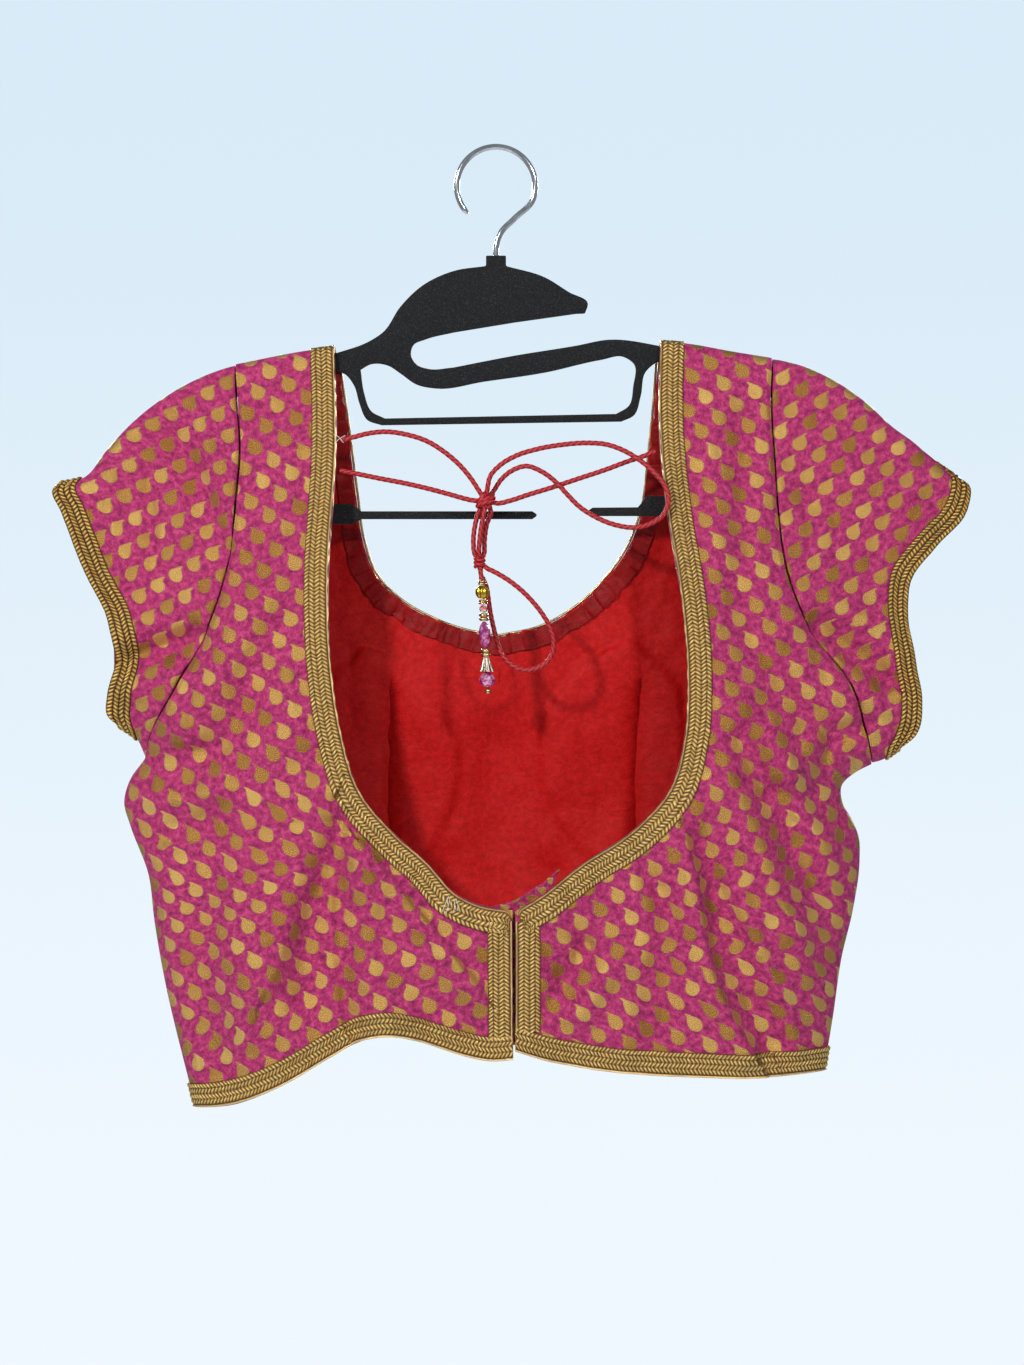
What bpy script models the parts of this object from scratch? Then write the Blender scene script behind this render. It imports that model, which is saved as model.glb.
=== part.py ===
"""A choli blouse on a flat hanger.

+X is to the right and -Y faces whoever looks at the open back of the blouse; the garment's front is its far
side, +Y. The origin is the inside of the hook's top, where a rod carries it. Tables and sizes are in
millimetres, and every mesh is written in metres.

The blouse hangs flat, so each of its two layers is a field: the half depth of the garment over its outline in
X and Z. A cut piece lies between four pattern lines; its points are lifted by the field, and a wall is made by
moving them along the surface's outward direction.
"""

import bmesh
import bpy
import numpy as np

MM = 0.001

# Cloth, in mm
WALL = 1.2
LINING = 1.0
LINING_DROP = 0.8
SEAM = 0.3
BRAID_WIDTH = 13.5
BRAID_LIFT = 0.8
BRAID_WALL = 1.2
CUFF_BRAID_WIDTH = 12.5
FACING_WIDTH = 10.0
PIPING_WIDTH = 1.5

# How far each layer stands from the middle plane, in mm
SHOULDER_HALF = 6.5
SHOULDER_ROUND = 8.0
SHOULDER_EASE = 150.0
SIDE_ROUND = 45.0
FULLNESS = {"back": 31.0, "front": 34.0}
LAYER_SIDE = {"back": -1.0, "front": 1.0}
CUP_RISE = 9.0
CUP_CENTRE = (64.0, -365.0)
CUP_SPREAD = 52.0

# Hanger and hook, in mm
PLATE = 5.2
WIRE = 3.2
HOOK_RADIUS = 20.0
STUB_TOP = -58.5

CORD = 2.8

# Where the armhole ends, and where the inner line turns, down each half panel
ARMPIT_AT = 0.55
PLACKET_AT = 0.80
NECK_AT = 0.50

# The pattern's lines as rows of (x, z): down from the shoulder, or out from the middle
LINES = {
    "left": {
        "shoulder": [(-88.5, -108.5), (-104, -110.5), (-143, -118)],
        "sleeve_top": [(-143, -118), (-163, -125.5), (-185, -138), (-201.5, -151.5), (-215, -166.5), (-226, -180),
                       (-240, -183.5)],
        "armhole": [(-143, -118), (-141.5, -138.5), (-139.5, -164), (-141, -190), (-146.5, -233.5),
                    (-156.5, -264), (-175.5, -299), (-190, -325), (-193, -335)],
        "side": [(-193, -335), (-201.5, -347), (-204.5, -359), (-201, -372), (-191, -399), (-188, -423),
                 (-183.5, -450), (-165.5, -526)],
        "cuff": [(-240, -183.5), (-243, -187), (-238.5, -199), (-225, -233.5), (-212, -259), (-208.5, -283.5),
                 (-212.5, -300), (-213, -311), (-207.5, -317)],
        "underarm": [(-193, -335), (-197, -325), (-207.5, -317)],
        "back_neck": [(-88.5, -108.5), (-87, -164), (-90.5, -240), (-89, -282), (-83, -322), (-73, -353),
                      (-54, -375.5), (-36, -391.5), (-21.5, -407.5), (-10, -413), (9, -416.5)],
        "placket": [(9, -416.5), (9.5, -497.5)],
        "back_hem": [(9.5, -497.5), (-3, -498.5), (-14, -496.5), (-28.5, -492), (-44, -487), (-58.5, -484.5), (-73.5, -487.5),
                     (-88, -495.5), (-120, -514), (-145.5, -523.5), (-165.5, -526)],
        "front_neck": [(-88.5, -108.5), (-83.5, -142.5), (-78, -188), (-74.5, -214), (-67.5, -233), (-54, -247),
                       (-37, -257), (-14.5, -265), (2, -267.5)],
        "front_centre": [(2, -267.5), (0, -478)],
        "front_hem": [(0, -478), (-60, -480), (-105, -494), (-140, -512), (-165.5, -526)],
    },
    "right": {
        "shoulder": [(90, -105.5), (104, -106.5), (130, -111), (151.5, -114.5)],
        "sleeve_top": [(151.5, -114.5), (170, -119.5), (188.5, -128.5), (204, -139.5), (217.5, -152), (231, -162),
                       (241, -171.5), (251, -180)],
        "armhole": [(151.5, -114.5), (150.5, -138.5), (152, -172), (154, -204.5), (158, -232.5), (171.5, -265.5),
                    (192, -292.5), (202, -320.5), (206.5, -338)],
        "side": [(206.5, -338), (197, -343), (190, -350), (190.5, -359), (195.5, -368), (199.5, -378),
                 (200, -390), (196.5, -417), (190, -444.5), (185.5, -475.5), (180.5, -506)],
        "cuff": [(251, -180), (259.5, -185), (258.5, -198.5), (241, -219), (227.5, -237), (225.5, -254),
                 (229.5, -282.5), (233, -304), (230, -322), (222, -329.5)],
        "underarm": [(206.5, -338), (214, -335), (222, -329.5)],
        "back_neck": [(90, -105.5), (89, -137), (90, -170), (93, -200), (100, -246), (103.5, -292), (102, -322),
                      (94, -351), (75.5, -372), (45.5, -392), (24, -409), (10.6, -417)],
        "placket": [(10.6, -417), (10.6, -493)],
        "back_hem": [(10.6, -493), (28, -498.5), (45.5, -502), (91.5, -506.5), (153, -507.5), (180.5, -506)],
        "front_neck": [(90, -105.5), (88, -136.5), (85.5, -164), (81.5, -197), (74.5, -216.5), (63.5, -233),
                       (47, -249.5), (24.5, -262.5), (2, -267.5)],
        "front_centre": [(2, -267.5), (0, -478)],
        "front_hem": [(0, -478), (60, -483), (120, -493), (180.5, -506)],
    },
}

# The largest folds: layer, start x and z, end x and z, width, and height (a trough's is negative)
FOLDS = [
    ("back", -78, -402, -26, -462, 13, 4.5),
    ("back", -52, -412, -22, -448, 11, -3.0),
    ("back", -98, -380, -112, -470, 15, -4.0),
    ("back", -132, -250, -176, -318, 14, 4.0),
    ("back", 110, -396, 134, -486, 12, 4.5),
    ("back", 132, -380, 158, -486, 13, -3.5),
    ("back", 122, -320, 182, -470, 13, 3.5),
    ("front", -70, -415, -90, -490, 16, -4.0),
    ("front", 66, -415, 90, -492, 16, -4.0),
    ("front", -128, -250, -172, -315, 14, 4.0),
    ("front", 135, -250, 180, -315, 14, 4.0),
]

# Fractions of an armhole at which panel and sleeve both have points, closer where the cloth turns over
ARMHOLE_STEPS = [0, 0.004, 0.018, 0.045, 0.11, 0.19, 0.28, 0.38, 0.48, 0.58, 0.68, 0.77, 0.85, 0.92, 0.96, 0.99, 1]
BACK_STEPS = [0.61, 0.67, 0.72, 0.765, PLACKET_AT, 0.86, 0.91]
FRONT_STEPS = [0.62, 0.70, 0.79, 0.88]

# The cord's routes as rows of (x, y, z), each from its sewn end or its knot outwards
CORD_ROUTES = {
    "tie_cord_left_upper": [(-84.5, -15.5, -161), (-78, -16.5, -159.5), (-70, -17, -157.5), (-60, -17.5, -156.5),
                            (-49, -18, -158), (-38, -18.5, -161.5), (-27.5, -19, -168), (-18.5, -19, -176),
                            (-12.5, -19, -183.5), (-9.2, -18.8, -188.6)],
    "tie_cord_left_lower": [(-85, -16, -177.5), (-75, -16.8, -179.5), (-63, -17.4, -182), (-50, -18, -184.5),
                            (-37, -18.4, -187.5), (-24, -18.7, -191), (-17, -18.8, -193), (-12.3, -18.8, -194)],
    "tie_cord_right": [(0.8, -18, -195.5), (8, -17.6, -194), (17, -17.2, -191), (30, -16.8, -187),
                       (45, -16.2, -182), (60, -15.8, -177), (72, -15.5, -172.5), (81, -15.4, -169.5),
                       (87, -15.2, -167)],
    "tie_cord_loop": [(-4.6, -22.2, -188), (-3, -23, -181), (2.5, -23.5, -175), (11, -23.5, -170),
                      (22, -23.3, -166.5), (36, -23, -164), (50, -22.8, -163), (60, -22.8, -163.8),
                      (69, -24, -167), (78, -25.8, -172.5), (86, -27.6, -179.5), (92, -28.6, -187.5),
                      (93.5, -29, -195), (91, -28.6, -202), (84, -27, -207), (75, -24.6, -209),
                      (65, -22.6, -207.5), (54, -21.2, -203), (45.5, -20.8, -197.5), (39, -21, -191),
                      (33, -21.5, -184.5), (25, -21.8, -178.5), (16.5, -21.6, -175.5), (8.5, -20, -178),
                      (2.5, -17.5, -183), (-1.2, -16.3, -188.6)],
    "tie_cord_tail_1": [(-9, -17.4, -199.6), (-11.2, -17.2, -207), (-12.2, -17.4, -217), (-11.4, -17.8, -223.2)],
    "tie_cord_tail_2": [(-6.2, -21.8, -199.4), (-7.6, -22, -207), (-8.8, -21.8, -216), (-9.2, -20.8, -222.4)],
    "tie_cord_tail_3": [(-2.8, -17.4, -199.6), (-5, -17.2, -207), (-6.2, -17.2, -216), (-6.6, -17.6, -223.2)],
    "tie_cord_curl": [(-5.2, -19, -230.6), (-0.5, -19.2, -233), (7, -19.6, -237.5), (14, -19.6, -243),
                      (20, -19.2, -249), (25.5, -18.6, -256), (29.5, -18, -263), (31.5, -17.4, -270),
                      (31, -16.8, -276.5), (28, -16.2, -281.8), (21.5, -15.4, -285.6), (14, -14.4, -286),
                      (8, -13, -283), (3, -11.6, -277), (0.5, -10.8, -270), (-1.5, -10.2, -262),
                      (-3, -10.2, -255), (-4, -10.8, -248)],
    "tie_cord_drop": [(-8.4, -19, -231.6), (-8, -19, -234.5), (-7.8, -19, -237)],
}
BOW_KNOT = {"centre": (-5.6, -18.8, -194.2), "radii": (6.0, 3.4, 5.2)}
LOWER_KNOT = {"centre": (-8.8, -19, -227.2), "radii": (3.9, 3.6, 3.7)}

# The tassel from top to bottom: name, top z, height, radius and profile
TASSEL_AXIS = (-7.6, -19.0)
TASSEL_LEAN = (0.055, 0.0)
TASSEL = [
    ("tassel_ring_1", -237.4, 2.6, 2.3, "ring"),
    ("tassel_ball", -240.3, 7.4, 3.9, "ball"),
    ("tassel_ring_2", -248.0, 2.6, 2.6, "ring"),
    ("tassel_crystal", -250.9, 4.2, 2.3, "ball"),
    ("tassel_ring_3", -255.4, 4.2, 2.7, "ring"),
    ("tassel_long_bead", -259.9, 14.4, 3.3, "ball"),
    ("tassel_ring_4", -274.6, 4.6, 2.7, "ring"),
    ("tassel_cap", -279.5, 7.6, 4.4, "bell"),
    ("tassel_drop_bead", -287.4, 8.4, 4.5, "ball"),
    ("tassel_tip", -296.1, 3.4, 1.7, "ball"),
]
# Each profile as rows of (share of the radius, share of the height down from the top)
PROFILES = {
    "ring": [(0, 0), (0.75, 0), (1, 0.25), (1, 0.75), (0.75, 1), (0, 1)],
    "ball": [(0, 0), (0.5, 0.067), (0.866, 0.25), (1, 0.5), (0.866, 0.75), (0.5, 0.933), (0, 1)],
    "bell": [(0, 0), (0.42, 0.04), (0.55, 0.35), (0.8, 0.68), (1, 1), (0, 1)],
}

# The hanger's plate as stretches of (x, z) rows, clockwise from the left arm's end; a stretch of two is straight
PLATE_OUTLINE = [
    [(-192, -151), (-184, -143.5), (-163, -131), (-143, -123.5), (-104, -116), (-86, -111.5), (-69.5, -105.5),
     (-62, -100.5), (-52.5, -86.5), (-40.5, -75), (-23.5, -67), (-5.5, -64.2)],
    [(-5.5, STUB_TOP), (5.5, STUB_TOP)],
    [(5.5, -64.2), (27, -70.5), (40, -78.5), (50.5, -85), (49, -90)],
    [(44, -90.2), (10, -95)],
    [(-23.5, -100.5), (-38.5, -104.2), (-45.5, -107.5), (-46.8, -113), (-43.5, -118.5), (-37, -120.8),
     (-23.5, -120)],
    [(-23.5, -120), (10, -113.5), (44, -108), (62, -104.7), (89, -108), (104, -111.5), (130, -116.5),
     (152, -119.5), (170, -125), (188, -134.5), (198, -146), (201, -165), (197, -187), (182, -200), (165, -201.5)],
    [(165, -201.5), (53, -201.5)],
    [(53, -201.5), (50.6, -199.2), (53, -197)],
    [(78, -196.8), (83, -190.5)],
    [(160, -190.5), (178, -186), (186, -170), (184, -154), (172, -143), (152, -136.5), (130, -131), (104, -122.5),
     (88.5, -117), (82.5, -122), (79.5, -136), (76, -146), (69, -149.5)],
    [(69, -149.5), (-63, -151.5)],
    [(-63, -151.5), (-71, -148.5), (-75, -140), (-78, -130), (-83, -123.5), (-104, -127.5), (-143, -136),
     (-165, -145), (-178, -157), (-182, -174), (-175, -190), (-160, -195)],
    [(-79, -195), (-74, -199)],
    [(20, -199), (22.4, -201), (20, -203.2)],
    [(-74, -203.2), (-79, -206)],
    [(-160, -206), (-180, -201.5), (-194, -185), (-196.5, -166), (-192, -151)],
]
PLATE_HOLE = [
    [(-74.5, -121), (-69, -118), (-60, -118.5), (-52, -123.5), (-44, -129), (-33, -131.3), (-6.5, -127.5),
     (27, -122.5), (58, -115.5), (70, -113.8), (76, -118), (75.5, -130), (73, -141), (66, -145.5)],
    [(66, -145.5), (-61, -148)],
    [(-61, -148), (-68.5, -144), (-72.5, -134), (-74.5, -121)],
]


# ---------------------------------------------------------------- lines and the layers' field


def smooth_line(rows, per_gap=6):
    """Points on a curve through the rows: a cubic in each gap, whose slope at a row is that of its neighbours."""
    rows = np.array(rows, float)
    gap = np.linalg.norm(np.diff(rows, axis=0), axis=1)
    if len(rows) == 2:
        return rows[0] + np.linspace(0, 1, per_gap + 1)[:, None] * (rows[1] - rows[0])
    length = np.concatenate([[0], np.cumsum(gap)])
    slope = np.gradient(rows, length, axis=0)
    where = np.concatenate([start + np.arange(per_gap) / per_gap * step for start, step in zip(length, gap)])
    where = np.append(where, length[-1])
    k = np.clip(np.searchsorted(length, where, side="right") - 1, 0, len(gap) - 1)
    a = ((where - length[k]) / gap[k])[:, None]
    step = gap[k][:, None]
    start = (2 * a**3 - 3 * a**2 + 1) * rows[k] + (a**3 - 2 * a**2 + a) * step * slope[k]
    end = (3 * a**2 - 2 * a**3) * rows[k + 1] + (a**3 - a**2) * step * slope[k + 1]
    return start + end


def at(line, fraction):
    """The points at these fractions of a line's length."""
    length = np.concatenate([[0], np.cumsum(np.linalg.norm(np.diff(line, axis=0), axis=1))])
    return np.stack([np.interp(fraction * length[-1], length, line[:, k]) for k in range(line.shape[1])], -1)


def to_line(x, z, line):
    """The distance of each point (x, z) to a line."""
    point = np.stack([x, z], -1)[..., None, :]
    along = line[1:] - line[:-1]
    share = np.clip(((point - line[:-1]) * along).sum(-1) / (along**2).sum(-1), 0, 1)
    return np.sqrt((((line[:-1] + share[..., None] * along) - point) ** 2).sum(-1).min(-1))


def rounded(q):
    """A quarter round: upright at q = 0, level at q = 1."""
    return np.sqrt(1 - (1 - np.clip(q, 0, 1)) ** 2)


def eased(q):
    """A slow start and a slow stop between q = 0 and q = 1."""
    q = np.clip(q, 0, 1)
    return q * q * (3 - 2 * q)


PATTERN = {hand: {name: smooth_line(rows) for name, rows in lines.items()} for hand, lines in LINES.items()}
TOP_LINES = [np.concatenate([PATTERN[hand]["shoulder"], PATTERN[hand]["sleeve_top"][1:]]) for hand in PATTERN]
SIDE_LINES = [np.concatenate([PATTERN[hand]["underarm"][::-1], PATTERN[hand]["side"][1:]]) for hand in PATTERN]


def half_depth(x, z, layer):
    """How far a layer stands from the middle plane: round over the hanger, then fuller, then round at the side."""
    top = np.minimum(*(to_line(x, z, line) for line in TOP_LINES))
    side = np.minimum(*(to_line(x, z, line) for line in SIDE_LINES))
    full = FULLNESS[layer] * (1 - 0.6 * eased((np.abs(x) - 110) / 130)) * (1 - 0.2 * eased((-z - 400) / 120))
    if layer == "front":
        for hand in (-1, 1):
            reach = ((x - hand * CUP_CENTRE[0]) ** 2 + (z - CUP_CENTRE[1]) ** 2) / CUP_SPREAD**2
            full = full + CUP_RISE * np.exp(-reach)
    depth = SHOULDER_HALF * rounded(top / SHOULDER_ROUND) + (full - SHOULDER_HALF) * eased(top / SHOULDER_EASE)
    depth = depth * rounded(side / SIDE_ROUND)
    for fold_layer, x0, z0, x1, z1, width, height in FOLDS:
        if fold_layer == layer:
            reach = to_line(x, z, np.array([(x0, z0), (x1, z1)], float))
            depth = depth + height * np.exp(-((reach / width) ** 2)) * eased(side / 35)
    return depth


def lifted(plan, layer, gap=SEAM / 2):
    """Plan points (x, z) carried out to a layer of the blouse."""
    x, z = plan[..., 0], plan[..., 1]
    y = LAYER_SIDE[layer] * (gap + half_depth(x, z, layer))
    return np.stack([x, y, z], -1)


# ---------------------------------------------------------------- cut pieces as surfaces of (across, down)


def laid_end_to_end(t, first, second, corner):
    """Two lines as one, the first up to t = corner and the second after it."""
    start = at(first, np.clip(t / corner, 0, 1))
    end = at(second, np.clip((t - corner) / (1 - corner), 0, 1))
    return np.where((t > corner)[..., None], end, start)


def between(inner, outer, top, bottom):
    """A plan surface between four lines: the two blends across and down, less the blend of the corners."""

    def plan(s, t):
        s, t = np.broadcast_arrays(np.asarray(s, float), np.asarray(t, float))
        a, b = s[..., None], t[..., None]
        sides = (1 - a) * inner(t) + a * outer(t) + (1 - b) * top(s) + b * bottom(s)
        zero, one = np.zeros(1), np.ones(1)
        corners = (1 - a) * (1 - b) * top(zero) + a * (1 - b) * top(one)
        return sides - corners - (1 - a) * b * bottom(zero) - a * b * bottom(one)

    return plan


def half_panel(hand, layer):
    """Half of a layer's body: the neck and middle line inside, the armhole and side outside."""
    lines = PATTERN[hand]
    middle, corner = ("placket", PLACKET_AT) if layer == "back" else ("front_centre", NECK_AT)
    return between(
        lambda t: laid_end_to_end(t, lines[layer + "_neck"], lines[middle], corner),
        lambda t: laid_end_to_end(t, lines["armhole"], lines["side"], ARMPIT_AT),
        lambda s: at(lines["shoulder"], s),
        lambda s: at(lines[layer + "_hem"], s),
    )


def sleeve_plan(hand):
    """Half of a flat sleeve: across from the armhole to the cuff, down from its top fold to the underarm."""
    lines = PATTERN[hand]
    return between(
        lambda t: at(lines["armhole"], t),
        lambda t: at(lines["cuff"], t),
        lambda s: at(lines["sleeve_top"], s),
        lambda s: at(lines["underarm"], s),
    )


def across_steps(plan, down, count):
    """Fractions across, for each row, at even steps of cloth past the braid: the last stretch turns over a
    quarter round."""
    length = np.linalg.norm(plan(1, down) - plan(0, down), axis=-1)[:, None]
    radius = np.minimum(SIDE_ROUND, 0.6 * length)
    whole = length - radius + radius * np.pi / 2
    first = BRAID_WIDTH + 1
    cloth = first + np.linspace(0, 1, count - 1)[None, :] * (whole - first)
    cloth = np.concatenate([np.zeros_like(length), cloth], axis=1)
    turn = np.clip((cloth - (length - radius)) / radius, 0, np.pi / 2)
    return np.where(turn > 0, length - radius + radius * np.sin(turn), cloth) / length


def seam_inset(plan, down, across, seam_from, seam_to):
    """Draws the outer edge in by half a seam where it is sewn to a sleeve."""
    length = np.linalg.norm(plan(1, down) - plan(0, down), axis=-1)
    sewn = (down >= seam_from) & (down < seam_to)
    return across * np.where(sewn, 1 - SEAM / 2 / length, 1)[:, None]


def to_hem(plan, across, down, width):
    """The rows with two more, so that a last band of this width runs all along the hem."""
    speed = np.linalg.norm(plan(across[-1], 1) - plan(across[-1], 0.96), axis=-1) / 0.04
    band_top = 1 - width / speed
    rows = np.repeat(down[:, None], len(band_top), axis=1)
    return np.concatenate([rows, [band_top], [np.ones_like(band_top)]])


def patch(surface, s, t):
    """A grid of points and the outward directions there, from small steps across and down the surface."""
    step = 1e-4
    s, t = np.broadcast_arrays(s, t)
    points = surface(s, t)
    across = np.where(s > 0.5, -1, 1) * step
    down = np.where(t > 0.5, -1, 1) * step
    side = (surface(s + across, t) - points) / across[..., None]
    drop = (surface(s, t + down) - points) / down[..., None]
    out = np.cross(side, drop)
    return points, out / np.linalg.norm(out, axis=-1, keepdims=True)


def within(grid):
    """The part of a panel's patch that its lining shares: clear of the shoulder, the side and the hem."""
    return tuple(values[4:-1, :-1] for values in grid)


def facing(points, out, direction):
    """The same patch with its directions turned to face this way along Y."""
    return points, out * (1 if (out[..., 1] * direction).mean() > 0 else -1)


def band(line, layer, start, end, along, gap=SEAM / 2, first_aside=None):
    """A strip beside a plan line, from one distance to another on its cloth side, as points and directions.
    Where a first direction is given, the strip's end lies along it and soon turns square to the line."""
    middle = at(line, along)
    ahead = at(line, np.clip(along + 1e-3, 0, 1)) - at(line, np.clip(along - 1e-3, 0, 1))
    ahead /= np.linalg.norm(ahead, axis=-1, keepdims=True)
    aside = np.stack([ahead[:, 1], -ahead[:, 0]], -1)
    if first_aside is not None:
        square = eased(along / 0.08)[:, None]
        aside = square * aside + (1 - square) * first_aside
    distance = np.linspace(start, end, 2)
    plan = middle[:, None, :] + aside[:, None, :] * distance[None, :, None]
    points = lifted(plan, layer, gap)
    step = 0.02
    lower = plan - [0, step]
    slope_x = (lifted(lower + [step, 0], layer, gap) - lifted(lower - [step, 0], layer, gap)) / (2 * step)
    slope_z = (points - lifted(lower, layer, gap)) / step
    out = np.cross(slope_x, slope_z)
    out /= np.linalg.norm(out, axis=-1, keepdims=True)
    return facing(points, out, LAYER_SIDE[layer])


# ---------------------------------------------------------------- meshes


def material(name, colour, roughness, metallic=0.0):
    made = bpy.data.materials.new(name)
    made.use_nodes = True
    shader = made.node_tree.nodes["Principled BSDF"]
    shader.inputs["Base Color"].default_value = (*colour, 1)
    shader.inputs["Roughness"].default_value = roughness
    shader.inputs["Metallic"].default_value = metallic
    return made


def add_mesh(name, points, faces, finish):
    """One object from points in mm and its faces."""
    mesh = bpy.data.meshes.new(name)
    mesh.from_pydata((np.asarray(points) * MM).tolist(), [], faces)
    mesh.materials.append(finish)
    obj = bpy.data.objects.new(name, mesh)
    bpy.context.scene.collection.objects.link(obj)
    mesh.shade_smooth()
    mesh.set_sharp_from_angle(angle=np.radians(50))
    return obj


def wall(name, patches, low, high, finish):
    """One closed wall: the patches' points moved out by low and by high, welded where they meet, with a rim."""
    points = np.concatenate([p.reshape(-1, 3) for p, _ in patches])
    out = np.concatenate([n.reshape(-1, 3) for _, n in patches])
    quads, base = [], 0
    for p, n in patches:
        rows, columns = p.shape[:2]
        index = base + np.arange(rows * columns).reshape(rows, columns)
        quad = np.stack([index[:-1, :-1], index[:-1, 1:], index[1:, 1:], index[1:, :-1]], -1).reshape(-1, 4)
        cross = np.cross(points[quad[:, 2]] - points[quad[:, 0]], points[quad[:, 3]] - points[quad[:, 1]])
        if (cross * out[quad[:, 0]]).sum() < 0:
            quad = quad[:, ::-1]
        quads.append(quad)
        base += rows * columns
    _, first, weld = np.unique(np.round(points + 1.7e-4, 3), axis=0, return_index=True, return_inverse=True)
    weld = weld.reshape(-1)
    direction = np.zeros((len(first), 3))
    np.add.at(direction, weld, out)
    direction /= np.linalg.norm(direction, axis=1, keepdims=True)
    quads = weld[np.concatenate(quads)]
    count = len(first)
    triangles = np.concatenate([quads[:, [0, 1, 2]], quads[:, [0, 2, 3]]])
    triangles = triangles[(triangles[:, 0] != triangles[:, 1]) & (triangles[:, 1] != triangles[:, 2])
                          & (triangles[:, 2] != triangles[:, 0])]
    edges = np.concatenate([triangles[:, [0, 1]], triangles[:, [1, 2]], triangles[:, [2, 0]]])
    code = edges[:, 0] * count + edges[:, 1]
    free = edges[~np.isin(code, edges[:, 1] * count + edges[:, 0])]
    rim_a = np.stack([free[:, 1], free[:, 0], free[:, 0] + count], -1)
    rim_b = np.stack([free[:, 1], free[:, 0] + count, free[:, 1] + count], -1)
    faces = np.concatenate([triangles, triangles[:, ::-1] + count, rim_a, rim_b])
    both = np.concatenate([points[first] + high * direction, points[first] + low * direction])
    return add_mesh(name, both, faces.tolist(), finish)


def turned(name, profile, centre, height, radius, finish, sides=10):
    """A solid of revolution about a vertical line: the profile's rows are shares of the radius and the height."""
    angle = np.arange(sides) * 2 * np.pi / sides
    rings = profile[1:-1]
    points = [(centre[0], centre[1], centre[2])]
    for share, fall in rings:
        ring = np.stack([centre[0] + share * radius * np.cos(angle), centre[1] + share * radius * np.sin(angle),
                         np.full(sides, centre[2] - fall * height)], -1)
        points += ring.tolist()
    points.append((centre[0], centre[1], centre[2] - height))
    faces, last = [], len(points) - 1
    for k in range(sides):
        n = (k + 1) % sides
        faces.append((0, 1 + k, 1 + n))
        for r in range(len(rings) - 1):
            a, b = 1 + r * sides, 1 + (r + 1) * sides
            faces.append((a + k, b + k, b + n, a + n))
        faces.append((last, last - sides + n, last - sides + k))
    return add_mesh(name, points, faces, finish)


def rounded_solid(name, centre, radii, finish, sides=12, rings=7):
    """An ellipsoid."""
    rise = np.linspace(0, np.pi, rings + 2)
    profile = [(np.sin(a), (1 - np.cos(a)) / 2) for a in rise]
    top = (centre[0], centre[1], centre[2] + radii[2])
    obj = turned(name, profile, top, 2 * radii[2], 1.0, finish, sides)
    for vertex in obj.data.vertices:
        vertex.co.x = centre[0] * MM + (vertex.co.x - centre[0] * MM) * radii[0]
        vertex.co.y = centre[1] * MM + (vertex.co.y - centre[1] * MM) * radii[1]
    return obj


def tube(name, route, diameter, finish, spacing, resolution=2):
    """A round cord or wire along a smooth curve through the route's rows."""
    line = smooth_line(route, 24)
    length = np.linalg.norm(np.diff(line, axis=0), axis=1).sum()
    points = at(line, np.linspace(0, 1, max(3, int(length / spacing) + 1)))
    curve = bpy.data.curves.new(name, "CURVE")
    curve.dimensions = "3D"
    curve.bevel_depth = diameter / 2 * MM
    curve.bevel_resolution = resolution
    curve.use_fill_caps = True
    spline = curve.splines.new("POLY")
    spline.points.add(len(points) - 1)
    for point, place in zip(spline.points, points):
        point.co = (*(place * MM), 1)
    curve.materials.append(finish)
    obj = bpy.data.objects.new(name, curve)
    bpy.context.scene.collection.objects.link(obj)
    return obj


def plate(name, stretches, hole, thickness, finish):
    """A flat plate in the XZ plane: its outline and its hole filled, then drawn out to the thickness."""
    mesh = bpy.data.meshes.new(name)
    form = bmesh.new()
    edges = []
    for outline in (stretches, hole):
        rows = np.concatenate([smooth_line(part, 3) if len(part) > 2 else np.array(part, float)
                               for part in outline])
        keep = np.linalg.norm(rows - np.roll(rows, 1, axis=0), axis=1) > 0.05
        corners = [form.verts.new((x * MM, -thickness / 2 * MM, z * MM)) for x, z in rows[keep]]
        edges += [form.edges.new((a, b)) for a, b in zip(corners, corners[1:] + corners[:1])]
    filled = bmesh.ops.triangle_fill(form, use_beauty=True, use_dissolve=False, edges=edges)
    faces = [item for item in filled["geom"] if isinstance(item, bmesh.types.BMFace)]
    drawn = bmesh.ops.extrude_face_region(form, geom=faces, use_keep_orig=True)
    moved = [item for item in drawn["geom"] if isinstance(item, bmesh.types.BMVert)]
    bmesh.ops.translate(form, verts=moved, vec=(0, thickness * MM, 0))
    bmesh.ops.recalc_face_normals(form, faces=form.faces)
    form.to_mesh(mesh)
    form.free()
    mesh.materials.append(finish)
    obj = bpy.data.objects.new(name, mesh)
    bpy.context.scene.collection.objects.link(obj)
    return obj


# ---------------------------------------------------------------- the blouse


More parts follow.
